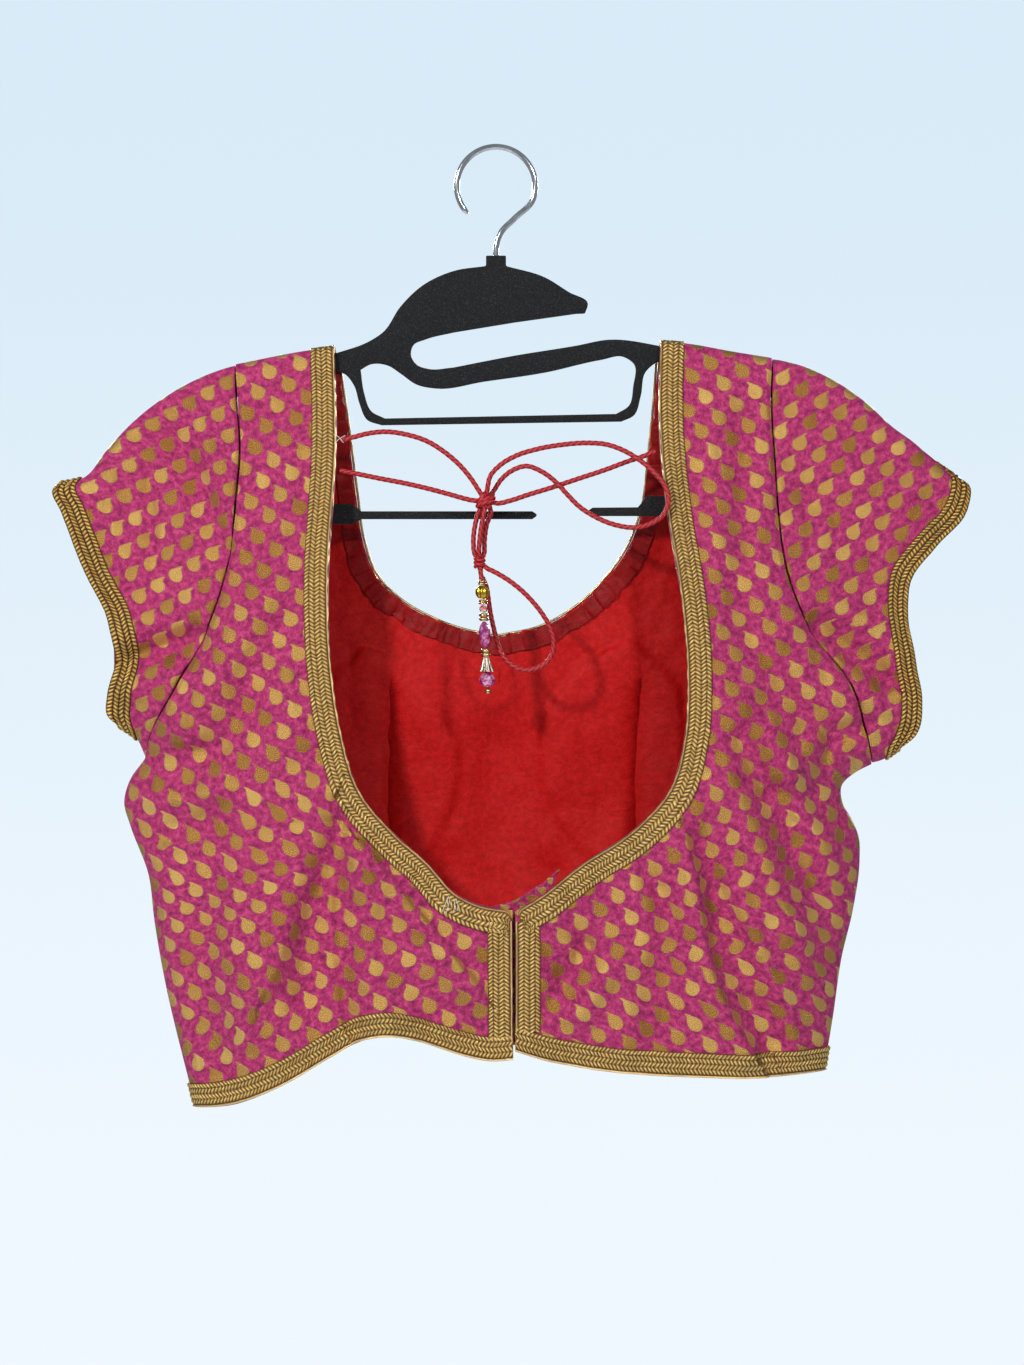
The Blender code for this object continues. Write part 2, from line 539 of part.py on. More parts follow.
def back_panels(brocade, lining, braid):
    """The near half panels, their linings, and the braid along neck, placket and hem."""
    for hand in ("left", "right"):
        plan = half_panel(hand, "back")
        rows = np.array([ARMPIT_AT * step for step in ARMHOLE_STEPS] + BACK_STEPS)
        down = to_hem(plan, across_steps(plan, rows, 10), rows, BRAID_WIDTH)
        middle_rows = down[:, -1]
        across = seam_inset(plan, middle_rows, across_steps(plan, middle_rows, 10), 0, ARMPIT_AT - 1e-6)
        cloth = facing(*patch(lambda s, t: lifted(plan(s, t), "back"), across, down), -1)
        wall("back_" + hand, [cloth], -WALL, 0, brocade)

        hem_rows = down[-2:, 1:]
        hem = facing(*patch(lambda s, t: lifted(plan(s, t), "back"), across[-2:, 1:], hem_rows), -1)
        wall("hem_braid_" + hand, [hem], BRAID_LIFT, BRAID_LIFT + BRAID_WALL, braid)

        inner = within(cloth)
        wall("back_lining_" + hand, [inner], -WALL - LINING_DROP - LINING, -WALL - LINING_DROP, lining)

        neck = PATTERN[hand]["back_neck"]
        steps = np.concatenate([rows[rows < PLACKET_AT - 0.05] / PLACKET_AT, [0.96]])
        turn = 1 if hand == "left" else -1
        seam = PATTERN[hand]["shoulder"]
        seam_length = np.linalg.norm(np.diff(seam, axis=0), axis=1).sum()
        along_seam = turn * (at(seam, np.array([BRAID_WIDTH / seam_length])) - seam[0]) / BRAID_WIDTH
        steps[0] = 1e-4
        neck_band = band(neck, "back", 0, turn * BRAID_WIDTH, steps, first_aside=along_seam)
        wall("neck_braid_" + hand, [neck_band], BRAID_LIFT, BRAID_LIFT + BRAID_WALL, braid)

        placket = PATTERN[hand]["placket"]
        placket_band = band(placket, "back", 0, turn * BRAID_WIDTH, np.linspace(0, 1, 6))
        wall("placket_braid_" + hand, [placket_band], BRAID_LIFT, BRAID_LIFT + BRAID_WALL, braid)


def front_panel(brocade, lining, braid, facing_cloth, gold):
    """The far panel and its lining, each of two halves that share the middle line, with the neck's finish."""
    cloth, inner, hems = [], [], []
    for hand in ("left", "right"):
        plan = half_panel(hand, "front")
        surface = lambda s, t, plan=plan: lifted(plan(s, t), "front")
        rows = np.array(sorted([ARMPIT_AT * step for step in ARMHOLE_STEPS] + [NECK_AT] + FRONT_STEPS))
        down = to_hem(plan, across_steps(plan, rows, 10), rows, BRAID_WIDTH)
        middle_rows = down[:, -1]
        across = seam_inset(plan, middle_rows, across_steps(plan, middle_rows, 10), 0, ARMPIT_AT - 1e-6)
        grid = facing(*patch(surface, across, down), 1)
        cloth.append(grid)
        hems.append((grid[0][-2:], grid[1][-2:]))
        inner.append(within(grid))
    wall("front", cloth, -WALL, 0, brocade)
    wall("hem_braid_front", hems, BRAID_LIFT, BRAID_LIFT + BRAID_WALL, braid)
    wall("front_lining", inner, -WALL - LINING_DROP - LINING, -WALL - LINING_DROP, lining)

    neck = np.concatenate([PATTERN["left"]["front_neck"], PATTERN["right"]["front_neck"][::-1][1:]])
    shares = np.array([np.linalg.norm(np.diff(PATTERN[hand]["front_neck"], axis=0), axis=1).sum()
                       for hand in ("left", "right")])
    shares /= shares.sum()
    down_neck = rows[(rows > 0.04) & (rows < NECK_AT + 1e-9)] / NECK_AT
    steps = np.concatenate([down_neck * shares[0], 1 - down_neck[-2::-1] * shares[1]])
    under = -WALL - LINING_DROP - LINING - 0.9
    wall("front_neck_facing", [band(neck, "front", 0.6, FACING_WIDTH, steps)], under - 0.8, under, facing_cloth)
    wall("front_neck_piping", [band(neck, "front", -SEAM - PIPING_WIDTH, -SEAM, steps)], -WALL - 1.4, 0.3, gold)


def sleeves(brocade, braid):
    """Each sleeve is one tube: its near and far halves share their top fold and underarm; the braid rings the cuff."""
    near_rows = np.array(ARMHOLE_STEPS, float)
    far_rows = np.array(sorted(ARMHOLE_STEPS + [NECK_AT / ARMPIT_AT]), float)
    for hand in ("left", "right"):
        plan = sleeve_plan(hand)
        halves, rims = [], []
        for layer, rows in (("back", near_rows), ("front", far_rows)):
            surface = lambda s, t, layer=layer: lifted(plan(s, t), layer, 0)
            length = np.linalg.norm(plan(1, rows) - plan(0, rows), axis=-1)
            start = SEAM / 2 / length
            band_top = 1 - np.minimum(CUFF_BRAID_WIDTH / length, 0.55)
            share = np.linspace(0, 1, 5)[None, :]
            across = start[:, None] + (band_top - start)[:, None] * share
            across = np.concatenate([across, np.ones((len(rows), 1))], axis=1)
            grid = facing(*patch(surface, across, rows[:, None]), LAYER_SIDE[layer])
            halves.append(grid)
            rims.append((grid[0][:, -2:], grid[1][:, -2:]))
        wall("sleeve_" + hand, halves, -WALL, 0, brocade)
        wall("cuff_braid_" + hand, rims, BRAID_LIFT, BRAID_LIFT + BRAID_WALL, braid)


def underlap_and_hooks(brocade, steel):
    """The strip under the hooked opening, with three plain hooks sewn on its inner face."""
    top = smooth_line([(-7, -417), (12, -411), (31, -397)])
    bottom = smooth_line([(-7, -490), (12, -490), (27, -492)])
    share = np.linspace(0, 1, 5)[None, :]
    fall = np.linspace(0, 1, 6)[:, None]

    def surface(s, t):
        plan = (1 - t[..., None]) * at(top, s) + t[..., None] * at(bottom, s)
        return lifted(plan, "back")

    outside = -WALL - LINING_DROP - LINING - 1.6
    cloth = facing(*patch(surface, share, fall), -1)
    wall("placket_underlap", [cloth], outside - WALL, outside, brocade)
    for number, height in enumerate((0.25, 0.5, 0.75)):
        small = facing(*patch(surface, np.array([[0.3, 0.5]]), np.array([[height - 0.02], [height + 0.02]])), -1)
        wall("hook_" + str(number + 1), [small], outside - WALL - 1.3, outside - WALL - 0.5, steel)


def cords(red, gold, finishes):
    """The tie cords in their stretches, their two knots, and the tassel that hangs from them."""
    for name, route in CORD_ROUTES.items():
        tube(name, route, CORD, red, 3 * CORD)
    rounded_solid("bow_knot", BOW_KNOT["centre"], BOW_KNOT["radii"], red)
    rounded_solid("lower_knot", LOWER_KNOT["centre"], LOWER_KNOT["radii"], red)
    for name, top, height, radius, profile in TASSEL:
        x = TASSEL_AXIS[0] + TASSEL_LEAN[0] * (TASSEL[0][1] - top)
        turned(name, PROFILES[profile], (x, TASSEL_AXIS[1], top), height, radius, finishes.get(name, gold))


def hanger(black, chrome):
    """The flat plate and the wire hook whose inside top is the origin."""
    plate("hanger_body", PLATE_OUTLINE, PLATE_HOLE, PLATE, black)
    ring = HOOK_RADIUS + WIRE / 2
    middle = -HOOK_RADIUS
    turn = np.radians(np.arange(-20, 226, 15))
    arc = [(ring * np.cos(a), 0, middle + ring * np.sin(a)) for a in turn]
    stem = [(0, 0, STUB_TOP + 0.3), (0, 0, -54), (2.5, 0, -46), (10, 0, -38)]
    tube("hanger_hook", stem + arc, WIRE, chrome, 2.2 * WIRE)


def main():
    for obj in list(bpy.data.objects):
        bpy.data.objects.remove(obj)
    brocade = material("brocade", (0.53, 0.03, 0.19), 0.6)
    lining = material("red_lining", (0.62, 0.01, 0.01), 0.55)
    facing_cloth = material("red_facing", (0.35, 0.01, 0.01), 0.6)
    braid = material("gold_braid", (0.55, 0.32, 0.08), 0.4, 0.6)
    gold = material("gold", (0.72, 0.5, 0.2), 0.3, 1.0)
    red = material("red_cord", (0.5, 0.01, 0.02), 0.6)
    steel = material("steel", (0.6, 0.6, 0.6), 0.3, 1.0)
    black = material("black_flock", (0.01, 0.01, 0.012), 0.9)
    pink_bead = material("pink_bead", (0.5, 0.06, 0.3), 0.15)
    crystal = material("crystal", (0.7, 0.3, 0.35), 0.1)
    back_panels(brocade, lining, braid)
    front_panel(brocade, lining, braid, facing_cloth, gold)
    sleeves(brocade, braid)
    underlap_and_hooks(brocade, steel)
    beads = {"tassel_crystal": crystal, "tassel_long_bead": pink_bead, "tassel_drop_bead": pink_bead}
    cords(red, gold, beads)
    hanger(black, steel)


main()
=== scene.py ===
"""A choli blouse on a flat hanger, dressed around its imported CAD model.

+X is to the right and -Y faces whoever looks at the open back of the blouse; +Y is the garment's front. The
origin is the inside of the hook's top. Tables and sizes are in millimetres, and every mesh is written in
metres.

Each layer of the blouse is a field: its half depth over the outline in X and Z, with its folds. A cut piece
is a grid between four pattern lines, lifted by the field, and its thickness is laid off along the outward
direction.
"""

import bmesh
import bpy
import numpy as np
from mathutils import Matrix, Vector

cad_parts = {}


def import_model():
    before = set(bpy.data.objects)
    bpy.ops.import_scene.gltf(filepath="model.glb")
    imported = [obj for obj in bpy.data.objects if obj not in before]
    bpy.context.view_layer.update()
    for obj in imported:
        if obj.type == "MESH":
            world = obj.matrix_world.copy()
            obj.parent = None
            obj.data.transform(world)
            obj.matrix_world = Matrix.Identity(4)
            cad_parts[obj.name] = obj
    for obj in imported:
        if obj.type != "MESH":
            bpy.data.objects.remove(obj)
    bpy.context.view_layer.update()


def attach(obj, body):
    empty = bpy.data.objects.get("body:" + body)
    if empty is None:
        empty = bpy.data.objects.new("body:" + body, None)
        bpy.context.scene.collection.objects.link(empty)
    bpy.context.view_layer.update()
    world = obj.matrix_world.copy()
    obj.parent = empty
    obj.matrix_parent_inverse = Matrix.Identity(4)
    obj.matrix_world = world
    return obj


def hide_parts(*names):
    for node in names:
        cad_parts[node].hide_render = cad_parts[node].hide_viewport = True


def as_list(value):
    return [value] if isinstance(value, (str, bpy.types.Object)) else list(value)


MM = 0.001

# Cloth, in mm: the panels' and linings' thickness, the gap between them, the gap at a seam and at the
# armholes
WALL = 1.2
LINING = 1.0
LINING_DROP = 0.8
FRONT_LINING_DROP = 1.8
SEAM = 0.3
SEAM_LINE = 0.8
BRAID_WIDTH = 13.5
CUFF_BRAID_WIDTH = 12.5
FACING_WIDTH = 10.0

# How far each layer stands from the middle plane, in mm
SHOULDER_HALF = 6.5
SHOULDER_ROUND = 8.0
SHOULDER_EASE = 150.0
SIDE_ROUND = 45.0
FULLNESS = {"back": 31.0, "front": 34.0}
LAYER_SIDE = {"back": -1.0, "front": 1.0}
CUP_RISE = 9.0
CUP_CENTRE = (64.0, -365.0)
CUP_SPREAD = 52.0

# How much deeper than the table's heights the folds are made
FOLD_GAIN = 1.1

# How proud of the lining the padded cups stand, and how wide their soft edge is, in mm
CUP_STEP = 3.0
CUP_EDGE = 6.0

# Hanger and hook, in mm
PLATE = 5.2
WIRE = 3.2
HOOK_RADIUS = 20.0
STUB_TOP = -58.5

# The tie cord's thickness and the loose threads', in mm
CORD = 2.8
THREAD = 0.32

# Where the armhole ends, and where the inner line turns, down each half panel
ARMPIT_AT = 0.55
PLACKET_AT = 0.80
NECK_AT = 0.50

# The woven design: its repeat across and up, in mm
REPEAT = (17.5, 19.4)

# The plaited braid: a stitch's pitch along it, its columns, and the corded edge's width in mm
STITCH = 2.1
COLUMNS = 4
EDGING = 1.2

# The pattern's lines as rows of (x, z): down from the shoulder, or out from the middle
LINES = {
    "left": {
        "shoulder": [(-88.5, -108.5), (-104, -110.5), (-143, -118)],
        "sleeve_top": [(-143, -118), (-163, -125.5), (-185, -138), (-201.5, -151.5), (-215, -166.5),
                       (-226, -180), (-240, -183.5)],
        "armhole": [(-143, -118), (-141.5, -138.5), (-139.5, -164), (-141, -190), (-146.5, -233.5),
                    (-156.5, -264), (-175.5, -299), (-190, -325), (-193, -335)],
        "side": [(-193, -335), (-201.5, -347), (-204.5, -359), (-201, -372), (-191, -399), (-188, -423),
                 (-183.5, -450), (-165.5, -526)],
        "cuff": [(-240, -183.5), (-243, -187), (-238.5, -199), (-225, -233.5), (-212, -259), (-208.5, -283.5),
                 (-212.5, -300), (-213, -311), (-207.5, -317)],
        "underarm": [(-193, -335), (-197, -325), (-207.5, -317)],
        "back_neck": [(-88.5, -108.5), (-87, -164), (-90.5, -240), (-89, -282), (-83, -322), (-73, -353),
                      (-54, -375.5), (-36, -391.5), (-21.5, -407.5), (-10, -413), (9, -416.5)],
        "placket": [(9, -416.5), (9.5, -497.5)],
        "back_hem": [(9.5, -497.5), (-3, -498.5), (-14, -496.5), (-28.5, -492), (-44, -487), (-58.5, -484.5),
                     (-73.5, -487.5), (-88, -495.5), (-120, -514), (-145.5, -523.5), (-165.5, -526)],
        "front_neck": [(-88.5, -108.5), (-83.5, -142.5), (-78, -188), (-74.5, -214), (-67.5, -233),
                       (-54, -247), (-37, -257), (-14.5, -265), (2, -267.5)],
        "front_centre": [(2, -267.5), (0, -478)],
        "front_hem": [(0, -478), (-60, -480), (-105, -494), (-140, -512), (-165.5, -526)],
    },
    "right": {
        "shoulder": [(90, -105.5), (104, -106.5), (130, -111), (151.5, -114.5)],
        "sleeve_top": [(151.5, -114.5), (170, -119.5), (188.5, -128.5), (204, -139.5), (217.5, -152),
                       (231, -162), (241, -171.5), (251, -180)],
        "armhole": [(151.5, -114.5), (150.5, -138.5), (152, -172), (154, -204.5), (158, -232.5),
                    (171.5, -265.5), (192, -292.5), (202, -320.5), (206.5, -338)],
        "side": [(206.5, -338), (197, -343), (190, -350), (190.5, -359), (195.5, -368), (199.5, -378),
                 (200, -390), (196.5, -417), (190, -444.5), (185.5, -475.5), (180.5, -506)],
        "cuff": [(251, -180), (259.5, -185), (258.5, -198.5), (241, -219), (227.5, -237), (225.5, -254),
                 (229.5, -282.5), (233, -304), (230, -322), (222, -329.5)],
        "underarm": [(206.5, -338), (214, -335), (222, -329.5)],
        "back_neck": [(90, -105.5), (89, -137), (90, -170), (93, -200), (100, -246), (103.5, -292),
                      (102, -322), (94, -351), (75.5, -372), (45.5, -392), (24, -409), (10.6, -417)],
        "placket": [(10.6, -417), (10.6, -493)],
        "back_hem": [(10.6, -493), (28, -498.5), (45.5, -502), (91.5, -506.5), (153, -507.5), (180.5, -506)],
        "front_neck": [(90, -105.5), (88, -136.5), (85.5, -164), (81.5, -197), (74.5, -216.5), (63.5, -233),
                       (47, -249.5), (24.5, -262.5), (2, -267.5)],
        "front_centre": [(2, -267.5), (0, -478)],
        "front_hem": [(0, -478), (60, -483), (120, -493), (180.5, -506)],
    },
}

# The cord's routes as rows of (x, y, z), each from its sewn end or its knot outwards
CORD_ROUTES = {
    "tie_cord_left_upper": [(-84.5, -15.5, -161), (-78, -16.5, -159.5), (-70, -17, -157.5),
                            (-60, -17.5, -156.5), (-49, -18, -158), (-38, -18.5, -161.5), (-27.5, -19, -168),
                            (-18.5, -19, -176), (-12.5, -19, -183.5), (-9.2, -18.8, -188.6)],
    "tie_cord_left_lower": [(-85, -16, -177.5), (-75, -16.8, -179.5), (-63, -17.4, -182), (-50, -18, -184.5),
                            (-37, -18.4, -187.5), (-24, -18.7, -191), (-17, -18.8, -193),
                            (-12.3, -18.8, -194)],
    "tie_cord_right": [(0.8, -18, -195.5), (8, -17.6, -194), (17, -17.2, -191), (30, -16.8, -187),
                       (45, -16.2, -182), (60, -15.8, -177), (72, -15.5, -172.5), (81, -15.4, -169.5),
                       (87, -15.2, -167)],
    "tie_cord_loop": [(-4.6, -22.2, -188), (-3, -23, -181), (2.5, -23.5, -175), (11, -23.5, -170),
                      (22, -23.3, -166.5), (36, -23, -164), (50, -22.8, -163), (60, -22.8, -163.8),
                      (69, -24, -167), (78, -25.8, -172.5), (86, -27.6, -179.5), (92, -28.6, -187.5),
                      (93.5, -29, -195), (91, -28.6, -202), (84, -27, -207), (75, -24.6, -209),
                      (65, -22.6, -207.5), (54, -21.2, -203), (45.5, -20.8, -197.5), (39, -21, -191),
                      (33, -21.5, -184.5), (25, -21.8, -178.5), (16.5, -21.6, -175.5), (8.5, -20, -178),
                      (2.5, -17.5, -183), (-1.2, -16.3, -188.6)],
    "tie_cord_tail_1": [(-9, -17.4, -199.6), (-11.2, -17.2, -207), (-12.2, -17.4, -217),
                        (-11.4, -17.8, -223.2)],
    "tie_cord_tail_2": [(-6.2, -21.8, -199.4), (-7.6, -22, -207), (-8.8, -21.8, -216), (-9.2, -20.8, -222.4)],
    "tie_cord_tail_3": [(-2.8, -17.4, -199.6), (-5, -17.2, -207), (-6.2, -17.2, -216), (-6.6, -17.6, -223.2)],
    "tie_cord_curl": [(-5.2, -19, -230.6), (-0.5, -19.2, -233), (7, -19.6, -237.5), (14, -19.6, -243),
                      (20, -19.2, -249), (25.5, -18.6, -256), (29.5, -18, -263), (31.5, -17.4, -270),
                      (31, -16.8, -276.5), (28, -16.2, -281.8), (21.5, -15.4, -285.6), (14, -14.4, -286),
                      (8, -13, -283), (3, -11.6, -277), (0.5, -10.8, -270), (-1.5, -10.2, -262),
                      (-3, -10.2, -255), (-4, -10.8, -248)],
    "tie_cord_drop": [(-8.4, -19, -231.6), (-8, -19, -234.5), (-7.8, -19, -237)],
}
# The middles of the two knots
BOW_KNOT = (-5.6, -18.8, -194.2)
LOWER_KNOT = (-8.8, -19, -227.2)

# Where the tassel hangs in x and y, how far it leans to the right for each mm down, and its beads from top to
# bottom: name, top z, height, radius and kind
TASSEL_AXIS = (-7.6, -19.0)
TASSEL_LEAN = 0.055
TASSEL = [
    ("tassel_ring_1", -237.4, 2.6, 2.3, "ring"),
    ("tassel_ball", -240.3, 7.4, 3.9, "ball"),
    ("tassel_ring_2", -248.0, 2.6, 2.6, "ring"),
    ("tassel_crystal", -250.9, 4.2, 2.3, "ball"),
    ("tassel_ring_3", -255.4, 4.2, 2.7, "ring"),
    ("tassel_long_bead", -259.9, 14.4, 3.3, "ball"),
    ("tassel_ring_4", -274.6, 4.6, 2.7, "ring"),
    ("tassel_cap", -279.5, 7.6, 4.4, "bell"),
    ("tassel_drop_bead", -287.4, 8.4, 4.5, "ball"),
    ("tassel_tip", -296.1, 3.4, 1.7, "ball"),
]

# The hanger's plate as stretches of (x, z) rows, clockwise from the left arm's end; a stretch of two is
# straight
PLATE_OUTLINE = [
    [(-192, -151), (-184, -143.5), (-163, -131), (-143, -123.5), (-104, -116), (-86, -111.5), (-69.5, -105.5),
     (-62, -100.5), (-52.5, -86.5), (-40.5, -75), (-23.5, -67), (-5.5, -64.2)],
    [(-5.5, STUB_TOP), (5.5, STUB_TOP)],
    [(5.5, -64.2), (27, -70.5), (40, -78.5), (50.5, -85), (49, -90)],
    [(44, -90.2), (10, -95)],
    [(-23.5, -100.5), (-38.5, -104.2), (-45.5, -107.5), (-46.8, -113), (-43.5, -118.5), (-37, -120.8),
     (-23.5, -120)],
    [(-23.5, -120), (10, -113.5), (44, -108), (62, -104.7), (89, -108), (104, -111.5), (130, -116.5),
     (152, -119.5), (170, -125), (188, -134.5), (198, -146), (201, -165), (197, -187), (182, -200),
     (165, -201.5)],
    [(165, -201.5), (53, -201.5)],
    [(53, -201.5), (50.6, -199.2), (53, -197)],
    [(78, -196.8), (83, -190.5)],
    [(160, -190.5), (178, -186), (186, -170), (184, -154), (172, -143), (152, -136.5), (130, -131),
     (104, -122.5), (88.5, -117), (82.5, -122), (79.5, -136), (76, -146), (69, -149.5)],
    [(69, -149.5), (-63, -151.5)],
    [(-63, -151.5), (-71, -148.5), (-75, -140), (-78, -130), (-83, -123.5), (-104, -127.5), (-143, -136),
     (-165, -145), (-178, -157), (-182, -174), (-175, -190), (-160, -195)],
    [(-79, -195), (-74, -199)],
    [(20, -199), (22.4, -201), (20, -203.2)],
    [(-74, -203.2), (-79, -206)],
    [(-160, -206), (-180, -201.5), (-194, -185), (-196.5, -166), (-192, -151)],
]
PLATE_HOLE = [
    [(-74.5, -121), (-69, -118), (-60, -118.5), (-52, -123.5), (-44, -129), (-33, -131.3), (-6.5, -127.5),
     (27, -122.5), (58, -115.5), (70, -113.8), (76, -118), (75.5, -130), (73, -141), (66, -145.5)],
    [(66, -145.5), (-61, -148)],
    [(-61, -148), (-68.5, -144), (-72.5, -134), (-74.5, -121)],
]


# Folds: layer, the line that one runs along, its width on the left and on the right of that line, and its
# height. A trough's height is negative, and a crease is a fold with one narrow side.
FOLDS = [
    ("back", [(-73, -380), (-46, -414), (-8, -461)], 2.6, 17, 5.0),
    ("back", [(-60, -405), (-30, -450), (-14, -480)], 12, 10, -2.2),
    ("back", [(-90, -364), (-108, -413), (-124, -457)], 6, 22, 3.2),
    ("back", [(-86, -369), (-98, -415), (-104, -462)], 9, 9, -4.0),
    ("back", [(-84, -369), (-85, -430), (-80, -480)], 7, 3, -2.2),
    ("back", [(-70, -396), (-68, -440), (-60, -480)], 9, 9, 1.8),
    ("back", [(-62, -455), (-58, -486)], 18, 18, 2.6),
    ("back", [(-132, -250), (-150, -286), (-176, -318)], 14, 14, 4.0),
    ("back", [(-119, -262), (-140, -310), (-168, -345)], 9, 9, -2.2),
    ("back", [(-193, -337), (-150, -328)], 5, 7, -2.4),
    ("back", [(-200, -358), (-150, -352)], 8, 6, 2.0),
    ("back", [(-196, -378), (-160, -368)], 5, 7, -1.8),
    ("back", [(-150, -372), (-158, -440), (-152, -505)], 16, 16, -3.0),
    ("back", [(-128, -330), (-140, -400), (-135, -480)], 12, 16, 2.0),
    ("back", [(-180, -420), (-172, -500)], 9, 9, 2.2),
    ("back", [(-112, -160), (-118, -240), (-108, -320)], 16, 12, 1.8),
    ("back", [(-128, -150), (-126, -215)], 7, 9, -1.6),
    ("back", [(-100, -190), (-104, -262)], 8, 8, -1.3),
    ("back", [(101, -374), (108, -402), (113, -435), (120.5, -460), (130, -480), (139, -494)], 3, 15, 4.6),
    ("back", [(113, -378), (124, -430), (148, -490)], 11, 7, -3.6),
    ("back", [(119, -328), (150, -400), (184, -473)], 8, 10, 3.6),
    ("back", [(133, -322), (166, -392), (196, -436)], 7, 7, -2.6),
    ("back", [(150, -322), (180, -380), (200, -410)], 8, 8, 2.6),
    ("back", [(106, -352), (134, -416), (166, -492)], 6, 5, 1.8),
    ("back", [(98, -380), (94, -430), (88, -480)], 8, 12, -2.0),
    ("back", [(72, -385), (78, -440), (70, -492)], 12, 12, 1.8),
    ("back", [(62, -446), (43, -474)], 9, 6, 2.6),
    ("back", [(50, -436), (26, -470)], 5, 7, -2.4),
    ("back", [(36, -402), (50, -440)], 4, 5, -1.8),
    ("back", [(56, -390), (74, -426)], 4, 5, -1.8),
    ("back", [(72, -376), (92, -412)], 4, 5, -1.7),
    ("back", [(20, -426), (40, -462)], 5, 4, -1.8),
    ("back", [(106, -250), (124, -300), (160, -345)], 10, 12, 2.4),
    ("back", [(130, -240), (150, -290), (186, -326)], 8, 9, -2.4),
    ("back", [(120, -140), (118, -215)], 10, 10, 1.8),
    ("back", [(136, -150), (134, -225)], 6, 8, -1.8),
    ("back", [(104, -180), (108, -250)], 7, 7, -1.4),
    ("back", [(201, -318), (184, -327), (180, -346)], 4, 6, -3.2),
    ("back", [(199, -333), (172, -324)], 6, 5, 2.4),
    ("back", [(196, -347), (160, -336)], 5, 6, 2.0),
    ("back", [(192, -360), (150, -352)], 6, 5, -1.8),
    ("back", [(-174, -160), (-160, -190), (-147, -222)], 5, 9, -2.8),
    ("back", [(-164, -146), (-150, -190)], 8, 4, 1.8),
    ("back", [(-190, -178), (-187, -228)], 3, 5, -1.7),
    ("back", [(-214, -180), (-206, -236)], 7, 7, 1.5),
    ("back", [(-203, -281), (-163, -268)], 6, 8, -4.0),
    ("back", [(-206, -264), (-166, -252)], 8, 8, 2.4),
    ("back", [(-202, -300), (-174, -288)], 7, 6, 2.2),
    ("back", [(176, -264), (214, -293)], 8, 5, -4.2),
    ("back", [(182, -248), (224, -274)], 9, 9, 2.4),
    ("back", [(190, -294), (224, -314)], 8, 7, 2.4),
    ("back", [(168, -190), (206, -214)], 8, 8, -1.6),
    ("back", [(172, -160), (224, -190)], 9, 9, 1.4),
    ("front", [(-66, -415), (-78, -455), (-92, -490)], 10, 16, -4.0),
    ("front", [(62, -415), (78, -455), (92, -492)], 16, 10, -4.0),
    ("front", [(-30, -400), (-38, -478)], 14, 10, 3.0),
    ("front", [(30, -400), (42, -480)], 10, 14, 3.0),
    ("front", [(0, -330), (-2, -400), (0, -478)], 18, 18, 5.0),
    ("front", [(-58, -300), (-60, -368), (-54, -430)], 5, 8, 3.2),
    ("front", [(79, -300), (78, -370), (84, -430)], 8, 5, 3.2),
    ("front", [(-128, -250), (-150, -286), (-172, -315)], 14, 14, 4.0),
    ("front", [(135, -250), (158, -286), (180, -315)], 14, 14, 4.0),
    ("front", [(-110, -380), (-132, -440), (-140, -505)], 10, 14, 3.0),
    ("front", [(112, -380), (128, -440), (146, -495)], 14, 10, 3.0),
    ("front", [(-150, -372), (-156, -440), (-150, -505)], 14, 14, -2.6),
    ("front", [(152, -372), (164, -440), (162, -500)], 14, 14, -2.6),
    ("front", [(-112, -150), (-118, -225)], 10, 10, 1.8),
    ("front", [(118, -150), (124, -225)], 10, 10, 1.8),
    ("front", [(-200, -282), (-163, -270)], 8, 8, -3.4),
    ("front", [(176, -266), (212, -290)], 8, 8, -3.4),
    ("front", [(-175, -165), (-152, -215)], 8, 9, -2.0),
    ("front", [(176, -170), (206, -215)], 9, 8, -1.8),
]

# The woven design's own directions on each piece: one repeat across and one up, in mm
GRAIN = {
    "back_left": ((16.9, 4.4), (-4.3, 18.8)),
    "back_right": ((17.3, -4.3), (2.7, 18.9)),
    "sleeve_left": ((16.0, -6.0), (4.6, 17.6)),
    "sleeve_right": ((16.7, 5.2), (-4.5, 18.0)),
    "front": ((17.5, 0.0), (0.0, 19.4)),
}
# How far a motif leans within its repeat, in degrees, and which way its tip curls
LEAN = {
    "back_left": (4, 1),
    "back_right": (-24, 1),
    "sleeve_left": (-4, -1),
    "sleeve_right": (22, -1),
    "front": (0, 1),
}

# The padded cups in the front's lining, as closed lines of (x, z)
CUPS = [
    [(-73.7, -274), (-60, -280), (-49, -290.7), (-36.9, -302.2), (-27, -317), (-22.6, -329.2),
     (-21.5, -343.5), (-25.3, -360), (-31, -378), (-44, -393), (-66, -398), (-88, -390), (-100, -366),
     (-101, -330), (-92, -292)],
    [(74.8, -268.7), (58.9, -277.5), (45, -287), (33.6, -301), (24.8, -328.6), (25.9, -344), (29.2, -358.3),
     (36.9, -373.2), (48, -388), (70, -395), (92, -388), (104, -364), (106, -330), (98, -290)],
]

# How bright the room is on the blouse, as a share of how bright it looks behind it
ROOM_GLOW = 0.32

# The lamps: name, place and size in metres, and power in watts. Each is turned to the blouse's middle.
LAMPS = [
    ("lamp_front_left", (-1.0, -1.75, 0.55), 0.2, 29),
    ("lamp_front_right", (0.8, -1.85, 0.6), 0.2, 15),
    ("lamp_behind_left", (-0.8, 1.9, 0.4), 0.4, 22),
    ("lamp_behind_right", (0.9, 1.8, 0.3), 0.4, 17),
]
LAMP_AIM = (0.0, 0.0, -0.3)
LAMP_COLOUR = (1.0, 0.98, 0.95)

# The floor's size and level in metres, the camera's place in metres, and its lens in mm
FLOOR_RADIUS = 1.6
FLOOR_LEVEL = -1.15
CAMERA_PLACE = (0.0088, -1.8, -0.2931)
LENS = 86.3
SENSOR_WIDTH = 36

